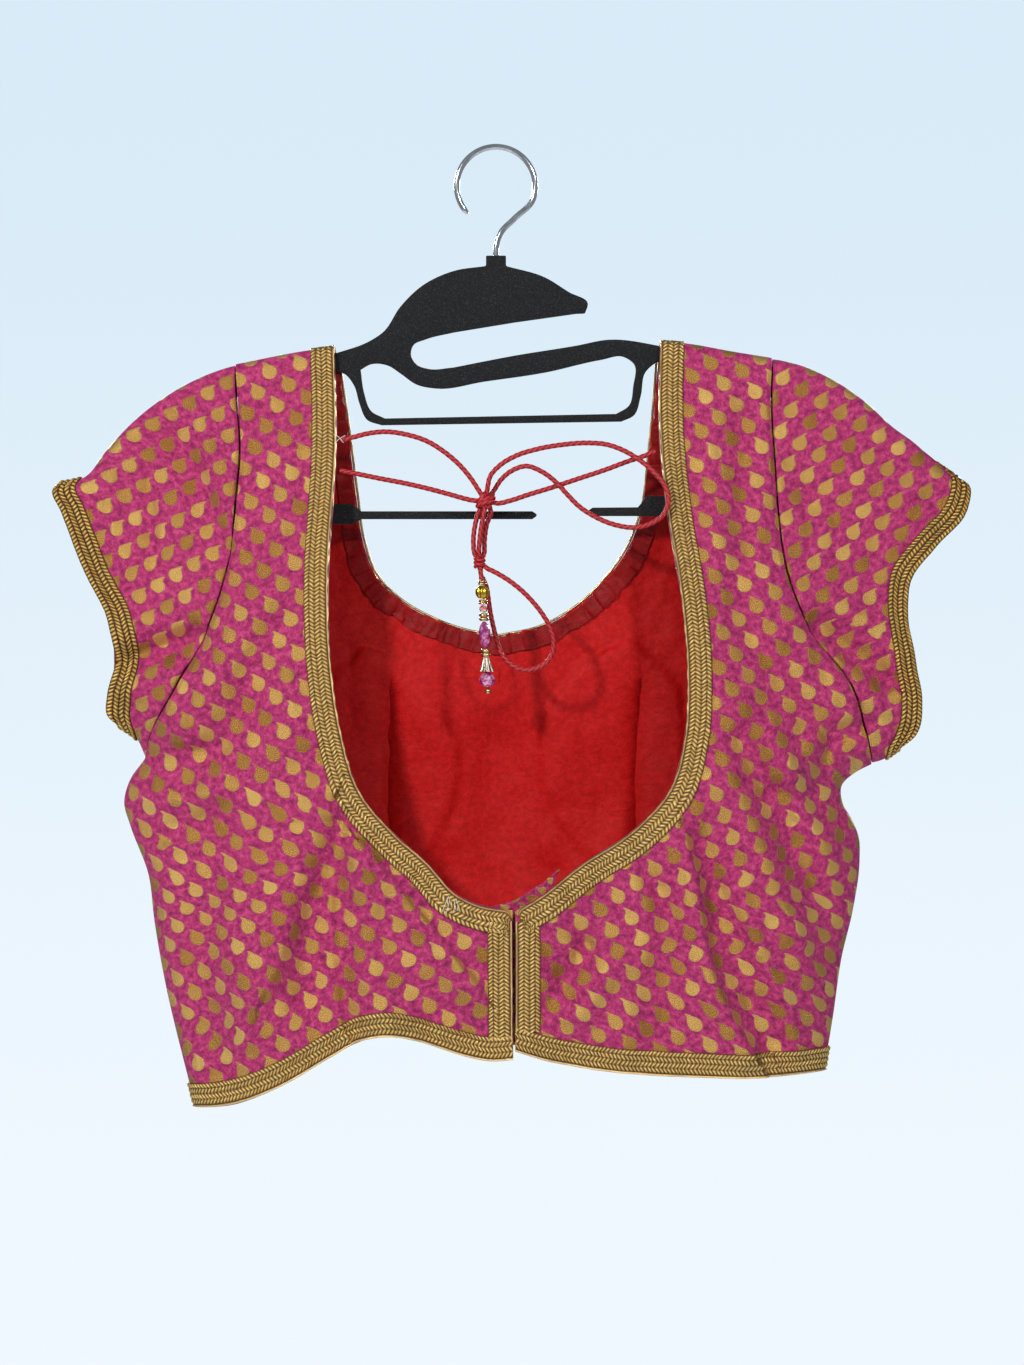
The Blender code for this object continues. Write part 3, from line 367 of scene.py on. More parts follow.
# ---------------------------------------------------------------- lines and the layers' field


def smooth_line(rows, per_gap=6):
    """Points on a curve through the rows: a cubic in each gap, whose slope at a row is that of its
    neighbours."""
    rows = np.array(rows, float)
    gap = np.linalg.norm(np.diff(rows, axis=0), axis=1)
    if len(rows) == 2:
        return rows[0] + np.linspace(0, 1, per_gap + 1)[:, None] * (rows[1] - rows[0])
    length = np.concatenate([[0], np.cumsum(gap)])
    slope = np.gradient(rows, length, axis=0)
    where = np.concatenate([start + np.arange(per_gap) / per_gap * step for start, step in zip(length, gap)])
    where = np.append(where, length[-1])
    k = np.clip(np.searchsorted(length, where, side="right") - 1, 0, len(gap) - 1)
    a = ((where - length[k]) / gap[k])[:, None]
    step = gap[k][:, None]
    start = (2 * a**3 - 3 * a**2 + 1) * rows[k] + (a**3 - 2 * a**2 + a) * step * slope[k]
    end = (3 * a**2 - 2 * a**3) * rows[k + 1] + (a**3 - a**2) * step * slope[k + 1]
    return start + end


def at(line, fraction):
    """The points at these fractions of a line's length."""
    length = np.concatenate([[0], np.cumsum(np.linalg.norm(np.diff(line, axis=0), axis=1))])
    return np.stack([np.interp(fraction * length[-1], length, line[:, k]) for k in range(line.shape[1])], -1)


def rounded(q):
    """A quarter round: upright at q = 0, level at q = 1."""
    return np.sqrt(1 - (1 - np.clip(q, 0, 1)) ** 2)


def eased(q):
    """A slow start and a slow stop between q = 0 and q = 1."""
    q = np.clip(q, 0, 1)
    return q * q * (3 - 2 * q)


PATTERN = {hand: {name: smooth_line(rows) for name, rows in lines.items()} for hand, lines in LINES.items()}
TOP_LINES = [np.concatenate([PATTERN[hand]["shoulder"], PATTERN[hand]["sleeve_top"][1:]]) for hand in PATTERN]
SIDE_LINES = [np.concatenate([PATTERN[hand]["underarm"][::-1], PATTERN[hand]["side"][1:]])
              for hand in PATTERN]


def nearest(x, z, line):
    """For each point: its distance to a line, how far along the line's length that is, and +1 on its left."""
    point = np.stack([x, z], -1)[..., None, :]
    along = line[1:] - line[:-1]
    share = np.clip(((point - line[:-1]) * along).sum(-1) / (along**2).sum(-1), 0, 1)
    gap = point - (line[:-1] + share[..., None] * along)
    distance = np.sqrt((gap**2).sum(-1))
    k = distance.argmin(-1)[..., None]
    pick = lambda values: np.take_along_axis(values, k, -1)[..., 0]
    length = np.linalg.norm(along, axis=1)
    start = np.concatenate([[0], np.cumsum(length)[:-1]])
    side = np.sign(along[:, 0] * gap[..., 1] - along[:, 1] * gap[..., 0])
    return pick(distance), pick(start + share * length), pick(side)


def to_line(x, z, line):
    """The distance of each point (x, z) to a line."""
    return nearest(x, z, line)[0]


def hills(x, z, size, seed):
    """Soft random hills about `size` across, from -1 to 1: at each corner of a square lattice a plane tilts a
    seeded way, and the four round a point are blended by a smooth weight."""
    turn = np.random.default_rng(seed).uniform(0, 2 * np.pi, (64, 64))
    x, z = x / size, z / size
    i, k = np.floor(x).astype(int), np.floor(z).astype(int)
    total = 0.0
    for a in (0, 1):
        for b in (0, 1):
            corner = turn[(i + a) % 64, (k + b) % 64]
            off_x, off_z = x - i - a, z - k - b
            weight = eased(1 - np.abs(off_x)) * eased(1 - np.abs(off_z))
            total = total + weight * (np.cos(corner) * off_x + np.sin(corner) * off_z)
    return 1.6 * total


def puckers(x, z, layer):
    """The cloth's small unevenness, in mm: two sizes of soft hills, longer down than across, and short
    gathers square to the neck and to the armholes, which fade away from the seam."""
    seed = 1 if layer == "back" else 11
    rise = 1.7 * hills(x, z * 0.45, 26, seed) + 0.7 * hills(x, z * 0.8, 11, seed + 1)
    rise = rise + 0.34 * hills(x, z, 6, seed + 2)
    for hand in PATTERN:
        away, along, _ = nearest(x, z, PATTERN[hand][layer + "_neck"])
        wave = np.sin(along / 1.45 + 2.5 * hills(along, away * 0.3, 21, seed + 3))
        rise = rise + 0.42 * wave * np.exp(-((away - 14) / 13) ** 2) * (away > 0)
        away, along, _ = nearest(x, z, PATTERN[hand]["armhole"])
        wave = np.sin(along / 1.9 + 3 * hills(along, away * 0.3, 24, seed + 4))
        rise = rise + 0.4 * wave * np.exp(-away / 7)
        rise = rise - 1.5 * np.exp(-((away / 1.5) ** 2))
    return rise


def half_depth(x, z, layer):
    """How far a layer stands from the middle plane: round over the hanger, then fuller, then round at the
    side, with its folds and puckers. The folds are calm beside the neck braid and calmer beside the
    opening."""
    top = np.minimum(*(to_line(x, z, line) for line in TOP_LINES))
    side = np.minimum(*(to_line(x, z, line) for line in SIDE_LINES))
    full = FULLNESS[layer] * (1 - 0.6 * eased((np.abs(x) - 110) / 130)) * (1 - 0.2 * eased((-z - 400) / 120))
    if layer == "front":
        for hand in (-1, 1):
            reach = ((x - hand * CUP_CENTRE[0]) ** 2 + (z - CUP_CENTRE[1]) ** 2) / CUP_SPREAD**2
            full = full + CUP_RISE * np.exp(-reach)
    shoulder = SHOULDER_HALF * rounded(top / SHOULDER_ROUND)
    depth = shoulder + (full - SHOULDER_HALF) * eased(top / SHOULDER_EASE)
    depth = depth * rounded(side / SIDE_ROUND)
    folds = puckers(x, z, layer)
    beside = np.minimum(*(to_line(x, z, PATTERN[hand][layer + "_neck"]) for hand in PATTERN))
    calm = 0.7 + 0.8 * eased((beside - 12) / 16)
    if layer == "back":
        opening = np.minimum(*(to_line(x, z, PATTERN[hand]["placket"]) for hand in PATTERN))
        calm = calm * (0.15 + 0.85 * eased((opening - 8) / 20))
    for fold_layer, rows, left, right, height in FOLDS:
        if fold_layer == layer:
            reach, _, hand = nearest(x, z, smooth_line(rows, 3))
            width = np.where(hand > 0, left, right)
            folds = folds + FOLD_GAIN * calm * height * np.exp(-((reach / width) ** 2))
    return np.maximum(depth + folds * eased(side / 30) * eased(top / 16), 0.35 * depth)


def lifted(plan, layer, gap=SEAM / 2):
    """Plan points (x, z) carried out to a layer of the blouse."""
    x, z = plan[..., 0], plan[..., 1]
    y = LAYER_SIDE[layer] * (gap + half_depth(x, z, layer))
    return np.stack([x, y, z], -1)


# ---------------------------------------------------------------- cut pieces as surfaces of (across, down)


def laid_end_to_end(t, first, second, corner):
    """Two lines as one, the first up to t = corner and the second after it."""
    start = at(first, np.clip(t / corner, 0, 1))
    end = at(second, np.clip((t - corner) / (1 - corner), 0, 1))
    return np.where((t > corner)[..., None], end, start)


def between(inner, outer, top, bottom):
    """A plan surface between four lines: the two blends across and down, less the blend of the corners."""

    def plan(s, t):
        s, t = np.broadcast_arrays(np.asarray(s, float), np.asarray(t, float))
        a, b = s[..., None], t[..., None]
        sides = (1 - a) * inner(t) + a * outer(t) + (1 - b) * top(s) + b * bottom(s)
        zero, one = np.zeros(1), np.ones(1)
        corners = (1 - a) * (1 - b) * top(zero) + a * (1 - b) * top(one)
        return sides - corners - (1 - a) * b * bottom(zero) - a * b * bottom(one)

    return plan


def half_panel(hand, layer):
    """Half of a layer's body: the neck and middle line inside, the armhole and side outside."""
    lines = PATTERN[hand]
    middle, corner = ("placket", PLACKET_AT) if layer == "back" else ("front_centre", NECK_AT)
    return between(
        lambda t: laid_end_to_end(t, lines[layer + "_neck"], lines[middle], corner),
        lambda t: laid_end_to_end(t, lines["armhole"], lines["side"], ARMPIT_AT),
        lambda s: at(lines["shoulder"], s),
        lambda s: at(lines[layer + "_hem"], s),
    )


def sleeve_plan(hand):
    """Half of a flat sleeve: across from the armhole to the cuff, down from its top fold to the underarm."""
    lines = PATTERN[hand]
    return between(
        lambda t: at(lines["armhole"], t),
        lambda t: at(lines["cuff"], t),
        lambda s: at(lines["sleeve_top"], s),
        lambda s: at(lines["underarm"], s),
    )


def over_shoulder(count, turn, marks=()):
    """Fractions down: even steps of cloth whose first stretch turns over a quarter round of this radius,
    moved so that each mark is one of them."""
    cloth = np.linspace(0, 1 - turn + turn * np.pi / 2, count)
    round_over = turn * (1 - np.cos(cloth / turn))
    down = np.where(cloth < turn * np.pi / 2, round_over, cloth + turn - turn * np.pi / 2)
    for mark in marks:
        down[np.abs(down - mark).argmin()] = mark
    return down


def across_steps(plan, down, count):
    """Fractions across, for each row, at even steps of cloth: the last stretch turns over a quarter round."""
    length = np.linalg.norm(plan(1, down) - plan(0, down), axis=-1)[:, None]
    radius = np.minimum(SIDE_ROUND, 0.6 * length)
    cloth = np.linspace(0, 1, count)[None, :] * (length - radius + radius * np.pi / 2)
    turn = np.clip((cloth - (length - radius)) / radius, 0, np.pi / 2)
    return np.where(turn > 0, length - radius + radius * np.sin(turn), cloth) / length


def outward(points, direction):
    """The unit direction square to a grid of points, on the side that faces this way along Y."""
    out = np.cross(np.gradient(points, axis=1), np.gradient(points, axis=0))
    out /= np.linalg.norm(out, axis=-1, keepdims=True) + 1e-12
    return out * (1 if (out[..., 1] * direction).mean() > 0 else -1)


def laid_flat(points, across=None, up=None):
    """Where each point would lie if the cloth were laid flat, in repeats of the woven design: steps across
    the grid keep their direction in plan and take their length from the curved cloth. The design's own
    directions across and up, in mm for one repeat, then give the place within it."""
    step = np.diff(points, axis=1)
    plain = np.linalg.norm(step[..., [0, 2]], axis=-1) + 1e-9
    stretch = np.minimum(np.linalg.norm(step, axis=-1) / plain, 6)
    flat = points[:, :1, [0, 2]] + np.cumsum(step[..., [0, 2]] * stretch[..., None], axis=1)
    flat = np.concatenate([points[:, :1, [0, 2]], flat], axis=1)
    if across is None:
        return flat
    return flat @ np.linalg.inv(np.array([across, up], float))


def closed_cloth(name, patches, finish, skip=4, marks=()):
    """One closed thin solid. Each patch is a grid of visible points, the grid of points under them, its flat
    place and its marks. Points that coincide are welded. The visible side has every row and column and the
    under side every fourth; a rim of many-sided faces joins them along each free edge."""
    top = np.concatenate([patch[0].reshape(-1, 3) for patch in patches])
    under = np.concatenate([patch[1].reshape(-1, 3) for patch in patches])
    flat = np.concatenate([patch[2].reshape(-1, 2) for patch in patches])
    _, first, weld = np.unique(np.round(top + 1.7e-6, 5), axis=0, return_index=True, return_inverse=True)
    weld = weld.reshape(-1)
    fine, coarse, chains, base = [], [], [], 0
    for patch in patches:
        rows, columns = patch[0].shape[:2]
        index = base + np.arange(rows * columns).reshape(rows, columns)
        base += rows * columns
        cross = np.cross(patch[0][1:, 1:] - patch[0][:-1, :-1], patch[0][1:, :-1] - patch[0][:-1, 1:])
        turned_over = (cross * (patch[0] - patch[1])[1:, 1:]).sum() < 0
        if turned_over:
            index = index[:, ::-1]
        corners = lambda grid: [grid[:-1, :-1], grid[:-1, 1:], grid[1:, 1:], grid[1:, :-1]]
        quad = lambda grid: np.stack(corners(grid), -1).reshape(-1, 4)
        fine.append(quad(index))
        coarse.append(quad(index[::skip, ::skip]))
        run = np.lib.stride_tricks.sliding_window_view
        level = run(index[::skip], skip + 1, axis=1)[:, ::skip]
        upright = run(index[:, ::skip], skip + 1, axis=0)[::skip]
        chains += [level[:-1].reshape(-1, skip + 1), upright[:, 1:].reshape(-1, skip + 1),
                   level[1:, :, ::-1].reshape(-1, skip + 1), upright[:, :-1, ::-1].reshape(-1, skip + 1)]
    fine, coarse, chains = np.concatenate(fine), np.concatenate(coarse), np.concatenate(chains)
    ends = np.sort(weld[chains[:, [0, -1]]], axis=1)
    code, seen = np.unique(ends[:, 0] * len(first) + ends[:, 1], return_counts=True)
    free = np.isin(ends[:, 0] * len(first) + ends[:, 1], code[seen == 1]) & (ends[:, 0] != ends[:, 1])
    chains = chains[free]
    count = len(first)
    rim = np.concatenate([weld[chains[:, ::-1]], weld[chains[:, [0, -1]]] + count], axis=1)
    fine_faces, coarse_faces = weld[fine], weld[coarse][:, ::-1] + count
    used = np.unique(np.concatenate([fine_faces.ravel(), coarse_faces.ravel(), rim.ravel()]))
    renumbered = np.zeros(2 * count, int)
    renumbered[used] = np.arange(len(used))
    faces = [face for part in (fine_faces, coarse_faces, rim) for face in renumbered[part].tolist()]
    rim_places = flat[np.concatenate([chains[:, ::-1], chains[:, [0, -1]]], axis=1)]
    places = [flat[fine], flat[coarse[:, ::-1]], rim_places]
    obj = add_mesh(name, np.concatenate([top[first], under[first]])[used], faces, finish)
    layer = obj.data.uv_layers.new(name="Cloth")
    layer.data.foreach_set("uv", np.concatenate([part.reshape(-1) for part in places]))
    for number, mark in enumerate(marks):
        values = np.concatenate([patch[3 + number].reshape(-1) for patch in patches])[first]
        values = np.concatenate([values, values])[used]
        obj.data.attributes.new(mark, "FLOAT", "POINT").data.foreach_set("value", values)
    return obj


def add_mesh(name, points, faces, finish, smooth=True):
    """One object from points in mm and its faces."""
    mesh = bpy.data.meshes.new(name)
    mesh.from_pydata((np.asarray(points) * MM).tolist(), [], faces)
    mesh.materials.append(finish)
    obj = bpy.data.objects.new(name, mesh)
    bpy.context.scene.collection.objects.link(obj)
    if smooth:
        mesh.shade_smooth()
        mesh.set_sharp_from_angle(angle=np.radians(55))
    return obj


def piece(obj, *nodes, slot):
    """Ties a piece to the blouse's one body and hides the model's parts that it stands for."""
    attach(obj, "root")
    if nodes:
        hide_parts(*nodes)
    return obj


# ---------------------------------------------------------------- the blouse


def sides_of(points, layer, outside, inside):
    """Two grids: the points moved to two distances along the surface's outward direction."""
    out = outward(points, LAYER_SIDE[layer])
    place = lambda distance: points + out * np.broadcast_to(distance, points.shape[:2])[..., None]
    return place(outside), place(inside)


def sunk_under(points, layer, depth, thick):
    """Two grids straight under a layer's smooth lie: they follow the lowest places nearby, so that no fold
    of the cloth above reaches them."""
    side = LAYER_SIDE[layer]
    height = side * points[..., 1]
    rows, columns = height.shape
    for turn in range(8):
        wide = np.pad(height, 1, mode="edge")
        near = [wide[i : i + rows, j : j + columns] for i in range(3) for j in range(3)]
        height = np.minimum.reduce(near) if turn < 4 else sum(near) / 9
    grids = []
    for down, least in ((depth + thick, 0.15 * thick), (depth, 1.15 * thick)):
        grid = points.copy()
        grid[..., 1] = side * np.maximum(height - down, least)
        grids.append(grid)
    return grids


def plait(along, across, edged):
    """The plaited braid's height over the cloth, and how near the top of a stitch a point is, from 0 to 1.
    Slanted stitches stand in columns that lean to and fro; a rounded cord runs along the inner edge past a
    narrow gap."""
    first = EDGING + 0.5 if edged else 0.0
    column = (across - first) / ((BRAID_WIDTH - first) / COLUMNS)
    share = column - np.floor(column)
    lean = np.where(np.floor(column) % 2 == 0, share, 1 - share)
    uneven = 0.22 * hills(along, across, 7, 21)
    strand = (0.5 + 0.5 * np.cos(2 * np.pi * ((along + uneven) / STITCH + 0.95 * lean))) ** 0.6
    stitch = strand * np.sin(np.pi * share) ** 0.45
    height = 0.35 + 0.95 * stitch + 0.12 * hills(along, across, 5, 22)
    if edged:
        cord = np.sqrt(np.clip(1 - ((across - EDGING / 2) / (EDGING / 2)) ** 2, 0, 1))
        height = np.where(across < first, 0.3 + 0.85 * cord, height)
        stitch = np.where(across < first, 0.12 + 0.88 * cord, stitch)
    return height, stitch


def braid_patch(points, layer, along, across, edged, raised=0.15):
    """A strip of braid on a grid of cloth points: along its length by rows and across it by columns."""
    height, stitch = plait(along, across, edged)
    top, under = sides_of(points, layer, raised + height, raised - 0.1)
    border = (across < EDGING + 0.2) & edged
    return top, under, np.stack([across, along], -1) / 10, stitch, border * np.ones_like(stitch)


def along_rows(points):
    """The length along a grid's first column, for every point of the grid."""
    step = np.linalg.norm(np.diff(points[:, 0], axis=0), axis=1)
    return np.concatenate([[0], np.cumsum(step)])[:, None] * np.ones(points.shape[:2])


def strip(line, start, end, along, count, first_aside=None):
    """Plan points of a strip beside a plan line, from one distance to another on its cloth side. Where a
    first direction is given, the strip's end lies along it and soon turns square to the line."""
    ahead = at(line, np.clip(along + 4e-3, 0, 1)) - at(line, np.clip(along - 4e-3, 0, 1))
    ahead /= np.linalg.norm(ahead, axis=-1, keepdims=True)
    aside = np.stack([ahead[:, 1], -ahead[:, 0]], -1)
    if first_aside is not None:
        square = eased(along / 0.08)[:, None]
        aside = square * aside + (1 - square) * first_aside
    return at(line, along)[:, None, :] + aside[:, None, :] * np.linspace(start, end, count)[None, :, None]


def line_length(line):
    """The whole length of a line of points."""
    return np.linalg.norm(np.diff(line, axis=0), axis=1).sum()


def steps_for(length, spacing):
    """A count of rows for this length, one more than a multiple of four."""
    return 4 * int(np.ceil(length / spacing / 4)) + 1


def neck_braid(hand, finish):
    """The braid along one side of the deep neck, corded on its inner edge; its lower end turns a round
    corner."""
    line = PATTERN[hand]["back_neck"]
    turn = 1 if hand == "left" else -1
    seam = PATTERN[hand]["shoulder"]
    first = turn * (at(seam, np.array([BRAID_WIDTH / line_length(seam)])) - seam[0]) / BRAID_WIDTH
    along = np.linspace(1e-4, 1, steps_for(line_length(line), STITCH / 5))
    plan = strip(line, 0, turn * BRAID_WIDTH, along, 29, first)
    left = (1 - along) * line_length(line)
    across = np.linspace(0, BRAID_WIDTH, 29)
    corner = 5 * (1 - np.sqrt(1 - np.clip(1 - left / 5, 0, 1) ** 2))
    kept = corner[:, None] + across[None, :] * (1 - corner[:, None] / BRAID_WIDTH)
    aside = (plan[:, -1] - plan[:, 0]) / BRAID_WIDTH
    plan = plan[:, :1] + aside[:, None, :] * kept[..., None]
    points = lifted(plan, "back")
    over = 0.5 * eased((20 - left) / 10)[:, None]
    wide = across[None, :] * np.ones(kept.shape)
    patch = braid_patch(points, "back", along_rows(points), wide, True, 0.15 + over)
    return closed_cloth(f"neck_braid_{hand}_plaited", [patch], finish, marks=("stitch", "edging"))


def placket_braid(hand, finish):
    """The braid down one side of the opening, from under the neck braid to the hem braid."""
    line = PATTERN[hand]["placket"]
    turn = 1 if hand == "left" else -1
    low = 1 - (BRAID_WIDTH - 3) / line_length(line)
    along = np.linspace(0.07, low, steps_for(line_length(line) * low, STITCH / 5))
    plan = strip(line, 0, turn * BRAID_WIDTH, along, 29)
    points = lifted(plan, "back")
    across = np.linspace(0, BRAID_WIDTH, 29)[None, :] * np.ones(points.shape[:2])
    patch = braid_patch(points, "back", along_rows(points), across, True)
    return closed_cloth(f"placket_braid_{hand}_plaited", [patch], finish, marks=("stitch", "edging"))


def hem_patch(hand, layer):
    """The braid along one half panel's hem, its rows following the side edge and the middle line."""
    plan = half_panel(hand, layer)
    count = steps_for(230, STITCH / 4.5)
    s = across_steps(plan, np.array([1.0]), count)[0][:, None]
    speed = np.linalg.norm(plan(s, np.ones_like(s)) - plan(s, np.full_like(s, 0.96)), axis=-1) / 0.04
    across = np.linspace(0, BRAID_WIDTH, 29)[None, :] * np.ones((count, 1))
    points = lifted(plan(s * np.ones_like(across), 1 - across / speed), layer)
    return braid_patch(points, layer, along_rows(points), across, True)


def even_rows(line, count):
    """Fractions along a curve at even steps of its length in space."""
    share = 0.5 - 0.5 * np.cos(np.linspace(0, np.pi, 1200))
    points = line(share)
    length = np.concatenate([[0], np.cumsum(np.linalg.norm(np.diff(points, axis=0), axis=1))])
    return np.interp(np.linspace(0, length[-1], count), length, share)


def cuff_braid(hand, finish):
    """The ring of braid round a sleeve's opening, over its near half and back over its far half."""
    plan = sleeve_plan(hand)
    patches = []
    for layer in ("back", "front"):
        rows = even_rows(lambda t: lifted(plan(1.0, t), layer, 0), steps_for(160, STITCH / 5))[:, None]
        length = np.linalg.norm(plan(1.0, rows) - plan(0.0, rows), axis=-1)
        width = np.minimum(CUFF_BRAID_WIDTH, 0.55 * length)
        across = np.linspace(0, 1, 25)[None, :] * np.ones_like(rows)
        points = lifted(plan(1 - across * width / length, rows * np.ones_like(across)), layer, 0)
        patches.append(braid_patch(points, layer, along_rows(points), across * BRAID_WIDTH, False))
    return closed_cloth(f"cuff_braid_{hand}_plaited", patches, finish, marks=("stitch", "edging"))


def back_panel(hand, finish):
    """One near panel, gathered a little at its seams."""
    plan = half_panel(hand, "back")
    rows = over_shoulder(225, 0.02, (ARMPIT_AT, PLACKET_AT))
    across = across_steps(plan, rows, 153)
    points = lifted(plan(across, rows[:, None] * np.ones_like(across)), "back")
    top, under = sides_of(points, "back", 0.0, -WALL)
    flat = laid_flat(points, *GRAIN["back_" + hand])
    return closed_cloth(f"back_{hand}_cloth", [(top, under, flat)], finish)


def front_patches(count, down_count, trim):
    """The two half grids of the far panel, or of its trimmed lining, sharing the middle line."""
    for hand in ("left", "right"):
        plan = half_panel(hand, "front")
        rows = over_shoulder(down_count, 0.02, (ARMPIT_AT, NECK_AT))
        if trim:
            rows = rows[(rows > 0.03) & (rows < 0.96)]
            rows = rows[: 4 * ((len(rows) - 1) // 4) + 1]
        across = across_steps(plan, rows, count) * (0.95 if trim else 1.0)
        yield plan(across, rows[:, None] * np.ones_like(across))


def front_cloth(finish):
    """The far panel in one piece."""
    patches = []
    for plan in front_patches(117, 177, False):
        points = lifted(plan, "front")
        top, under = sides_of(points, "front", 0.0, -WALL)
        patches.append((top, under, laid_flat(points, *GRAIN["front"])))
    return closed_cloth("front_cloth", patches, finish)


def cup_rise(x, z):
    """How far the padded cups in the front's lining stand proud of it."""
    rise = 0.0
    for rows in CUPS:
        ring = np.array(rows + rows[:1])
        turn = np.sign((ring[:-1, 0] * ring[1:, 1] - ring[1:, 0] * ring[:-1, 1]).sum())
        away, _, hand = nearest(x, z, smooth_line(rows + rows[:1], 5))
        rise = rise + CUP_STEP * eased(0.5 + away * hand * turn / CUP_EDGE)
    return rise


def front_lining_cloth(finish):
    """The far panel's lining: its visible side is the inner one."""
    patches = []
    inner = WALL + FRONT_LINING_DROP
    for plan in front_patches(101, 149, True):
        points = lifted(plan, "front")
        x, z = plan[..., 0], plan[..., 1]
        depth = inner + LINING + cup_rise(x, z) + 0.25 * hills(x, z * 0.5, 9, 31)
        top, under = sides_of(points, "front", -depth, -inner)
        patches.append((top, under, laid_flat(points) / 10))
    return closed_cloth("front_lining_cloth", patches, finish)


def back_lining_cloth(hand, finish):
    """A near panel's lining, hanging smooth under it."""
    plan = half_panel(hand, "back")
    rows = np.linspace(0.05, 0.955, 121)
    across = across_steps(plan, rows, 65) * 0.94
    points = lifted(plan(across, rows[:, None] * np.ones_like(across)), "back")
    top, under = sunk_under(points, "back", WALL + LINING_DROP, LINING)
    return closed_cloth(f"back_lining_{hand}_cloth", [(top, under, laid_flat(points) / 10)], finish)


def sleeve_cloth(hand, finish):
    """A sleeve in one tube: near half and far half share the top fold and the underarm."""
    plan = sleeve_plan(hand)
    patches = []
    for layer in ("back", "front"):
        rows = even_rows(lambda t: lifted(plan(0.5, t), layer, 0), 145)[:, None]
        length = np.linalg.norm(plan(1.0, rows) - plan(0.0, rows), axis=-1)
        across = np.linspace(0, 1, 81)[None, :] * (1 - SEAM_LINE / length) + SEAM_LINE / length
        points = lifted(plan(across, rows * np.ones_like(across)), layer, 0)
        sunk = 0.9 * np.exp(-across * length / 3)
        top, under = sides_of(points, layer, -sunk, -WALL - sunk)
        patches.append((top, under, laid_flat(points, *GRAIN["sleeve_" + hand])))
    return closed_cloth(f"sleeve_{hand}_cloth", patches, finish)


def whole_front_neck():
    """The front neck's line from the left shoulder round to the right one."""
    return np.concatenate([PATTERN["left"]["front_neck"], PATTERN["right"]["front_neck"][::-1][1:]])


def front_neck_facing_cloth(finish):
    """The dark facing along the front neck, drawn up into small puckers."""
    neck = whole_front_neck()
    along = np.linspace(0.02, 0.98, steps_for(line_length(neck), 0.8))
    points = lifted(strip(neck, 0.4, FACING_WIDTH, along, 17), "front")
    run = along_rows(points)
    across = np.linspace(0, 1, 17)[None, :]
    gather = np.sin(run * 1.5 + 3 * hills(run, across * 6, 13, 41))
    uneven = 0.35 * gather + 0.25 * hills(run, across * 9, 5, 42)
    depth = WALL + LINING_DROP + LINING + 2.6 + uneven * across**0.5
    top, under = sides_of(points, "front", -depth, -depth + 0.8)
    flat = np.stack([across * np.ones_like(run), run / 10], -1)
    return closed_cloth("front_neck_facing_cloth", [(top, under, flat)], finish)


def front_neck_piping_cord(finish):
    """The thin gold piping, a round cord on the front neck's edge with a fine twist."""
    neck = whole_front_neck()
    along = np.linspace(0.02, 0.98, 900)
    points = lifted(strip(neck, -0.9, 0, along, 2), "front", 0)[:, 0] - [0, 0.6, 0]
    return swept("front_neck_piping_cord", [cord_rings(points, 1.5, 10)], finish)


def underlap_cloth(finish):
    """The strip under the opening, whose folded top edge peeps out above the right neck braid."""
    top_line = smooth_line([(-7, -416.5), (11, -410.5), (22, -403.5), (34, -394.5)])
    bottom = smooth_line([(-7, -490), (12, -490), (27, -492)])
    share = np.linspace(0, 1, 49)[None, :] * np.ones((81, 1))
    fall = np.linspace(0, 1, 81)[:, None] * np.ones((1, 49))
    plan = (1 - fall[..., None]) * at(top_line, share) + fall[..., None] * at(bottom, share)
    points = lifted(plan, "back")
    drop = fall * 80
    pleat = 0.5 * np.abs(np.sin(drop * 1.15)) * np.exp(-drop / 9) + 0.25 * hills(share * 30, drop, 4, 51)
    depth = -WALL - LINING_DROP - LINING - 1.4
    top, under = sides_of(points, "back", depth + pleat, depth - 1.0)
    return closed_cloth("placket_underlap_cloth", [(top, under, laid_flat(points) / 10)], finish)


def hooks(finish):
    """Three plain wire hooks on the underlap's inner face, each a flattened loop."""
    for number, height in enumerate((-438.0, -456.0, -474.0)):
        turn = np.linspace(0, 2 * np.pi, 60)
        y = -half_depth(np.array([10.0]), np.array([height]), "back")[0] + 7.2
        loop = np.stack([9 + 3.4 * np.cos(turn), y + 0.5 * np.sin(turn), height + 1.5 * np.sin(turn)], -1)
        obj = swept(f"hook_{number + 1}_wire", [cord_rings(loop, 0.7, 8, 0)], finish)
        piece(obj, f"hook_{number + 1}", slot="steel_hooks")


# ---------------------------------------------------------------- cords, tassel and hanger


def cord_rings(points, diameter, sides, twist=1.0):
    """Rings of points round a path: each ring is square to the path, and its radius swells where three
    strands wind round it."""
    ahead = np.gradient(points, axis=0)
    ahead /= np.linalg.norm(ahead, axis=1, keepdims=True)
    across = np.cross(ahead, [0.03, 1.0, 0.02])
    across /= np.linalg.norm(across, axis=1, keepdims=True)
    upward = np.cross(across, ahead)
    run = np.concatenate([[0], np.cumsum(np.linalg.norm(np.diff(points, axis=0), axis=1))])[:, None]
    angle = np.linspace(0, 2 * np.pi, sides, endpoint=False)[None, :]
    radius = diameter / 2 * (1 - twist * 0.09 * (0.5 - 0.5 * np.cos(3 * angle - run * 5.2 / diameter)))
    ring = across[:, None, :] * np.cos(angle)[..., None] + upward[:, None, :] * np.sin(angle)[..., None]
    return points[:, None, :] + ring * radius[..., None]


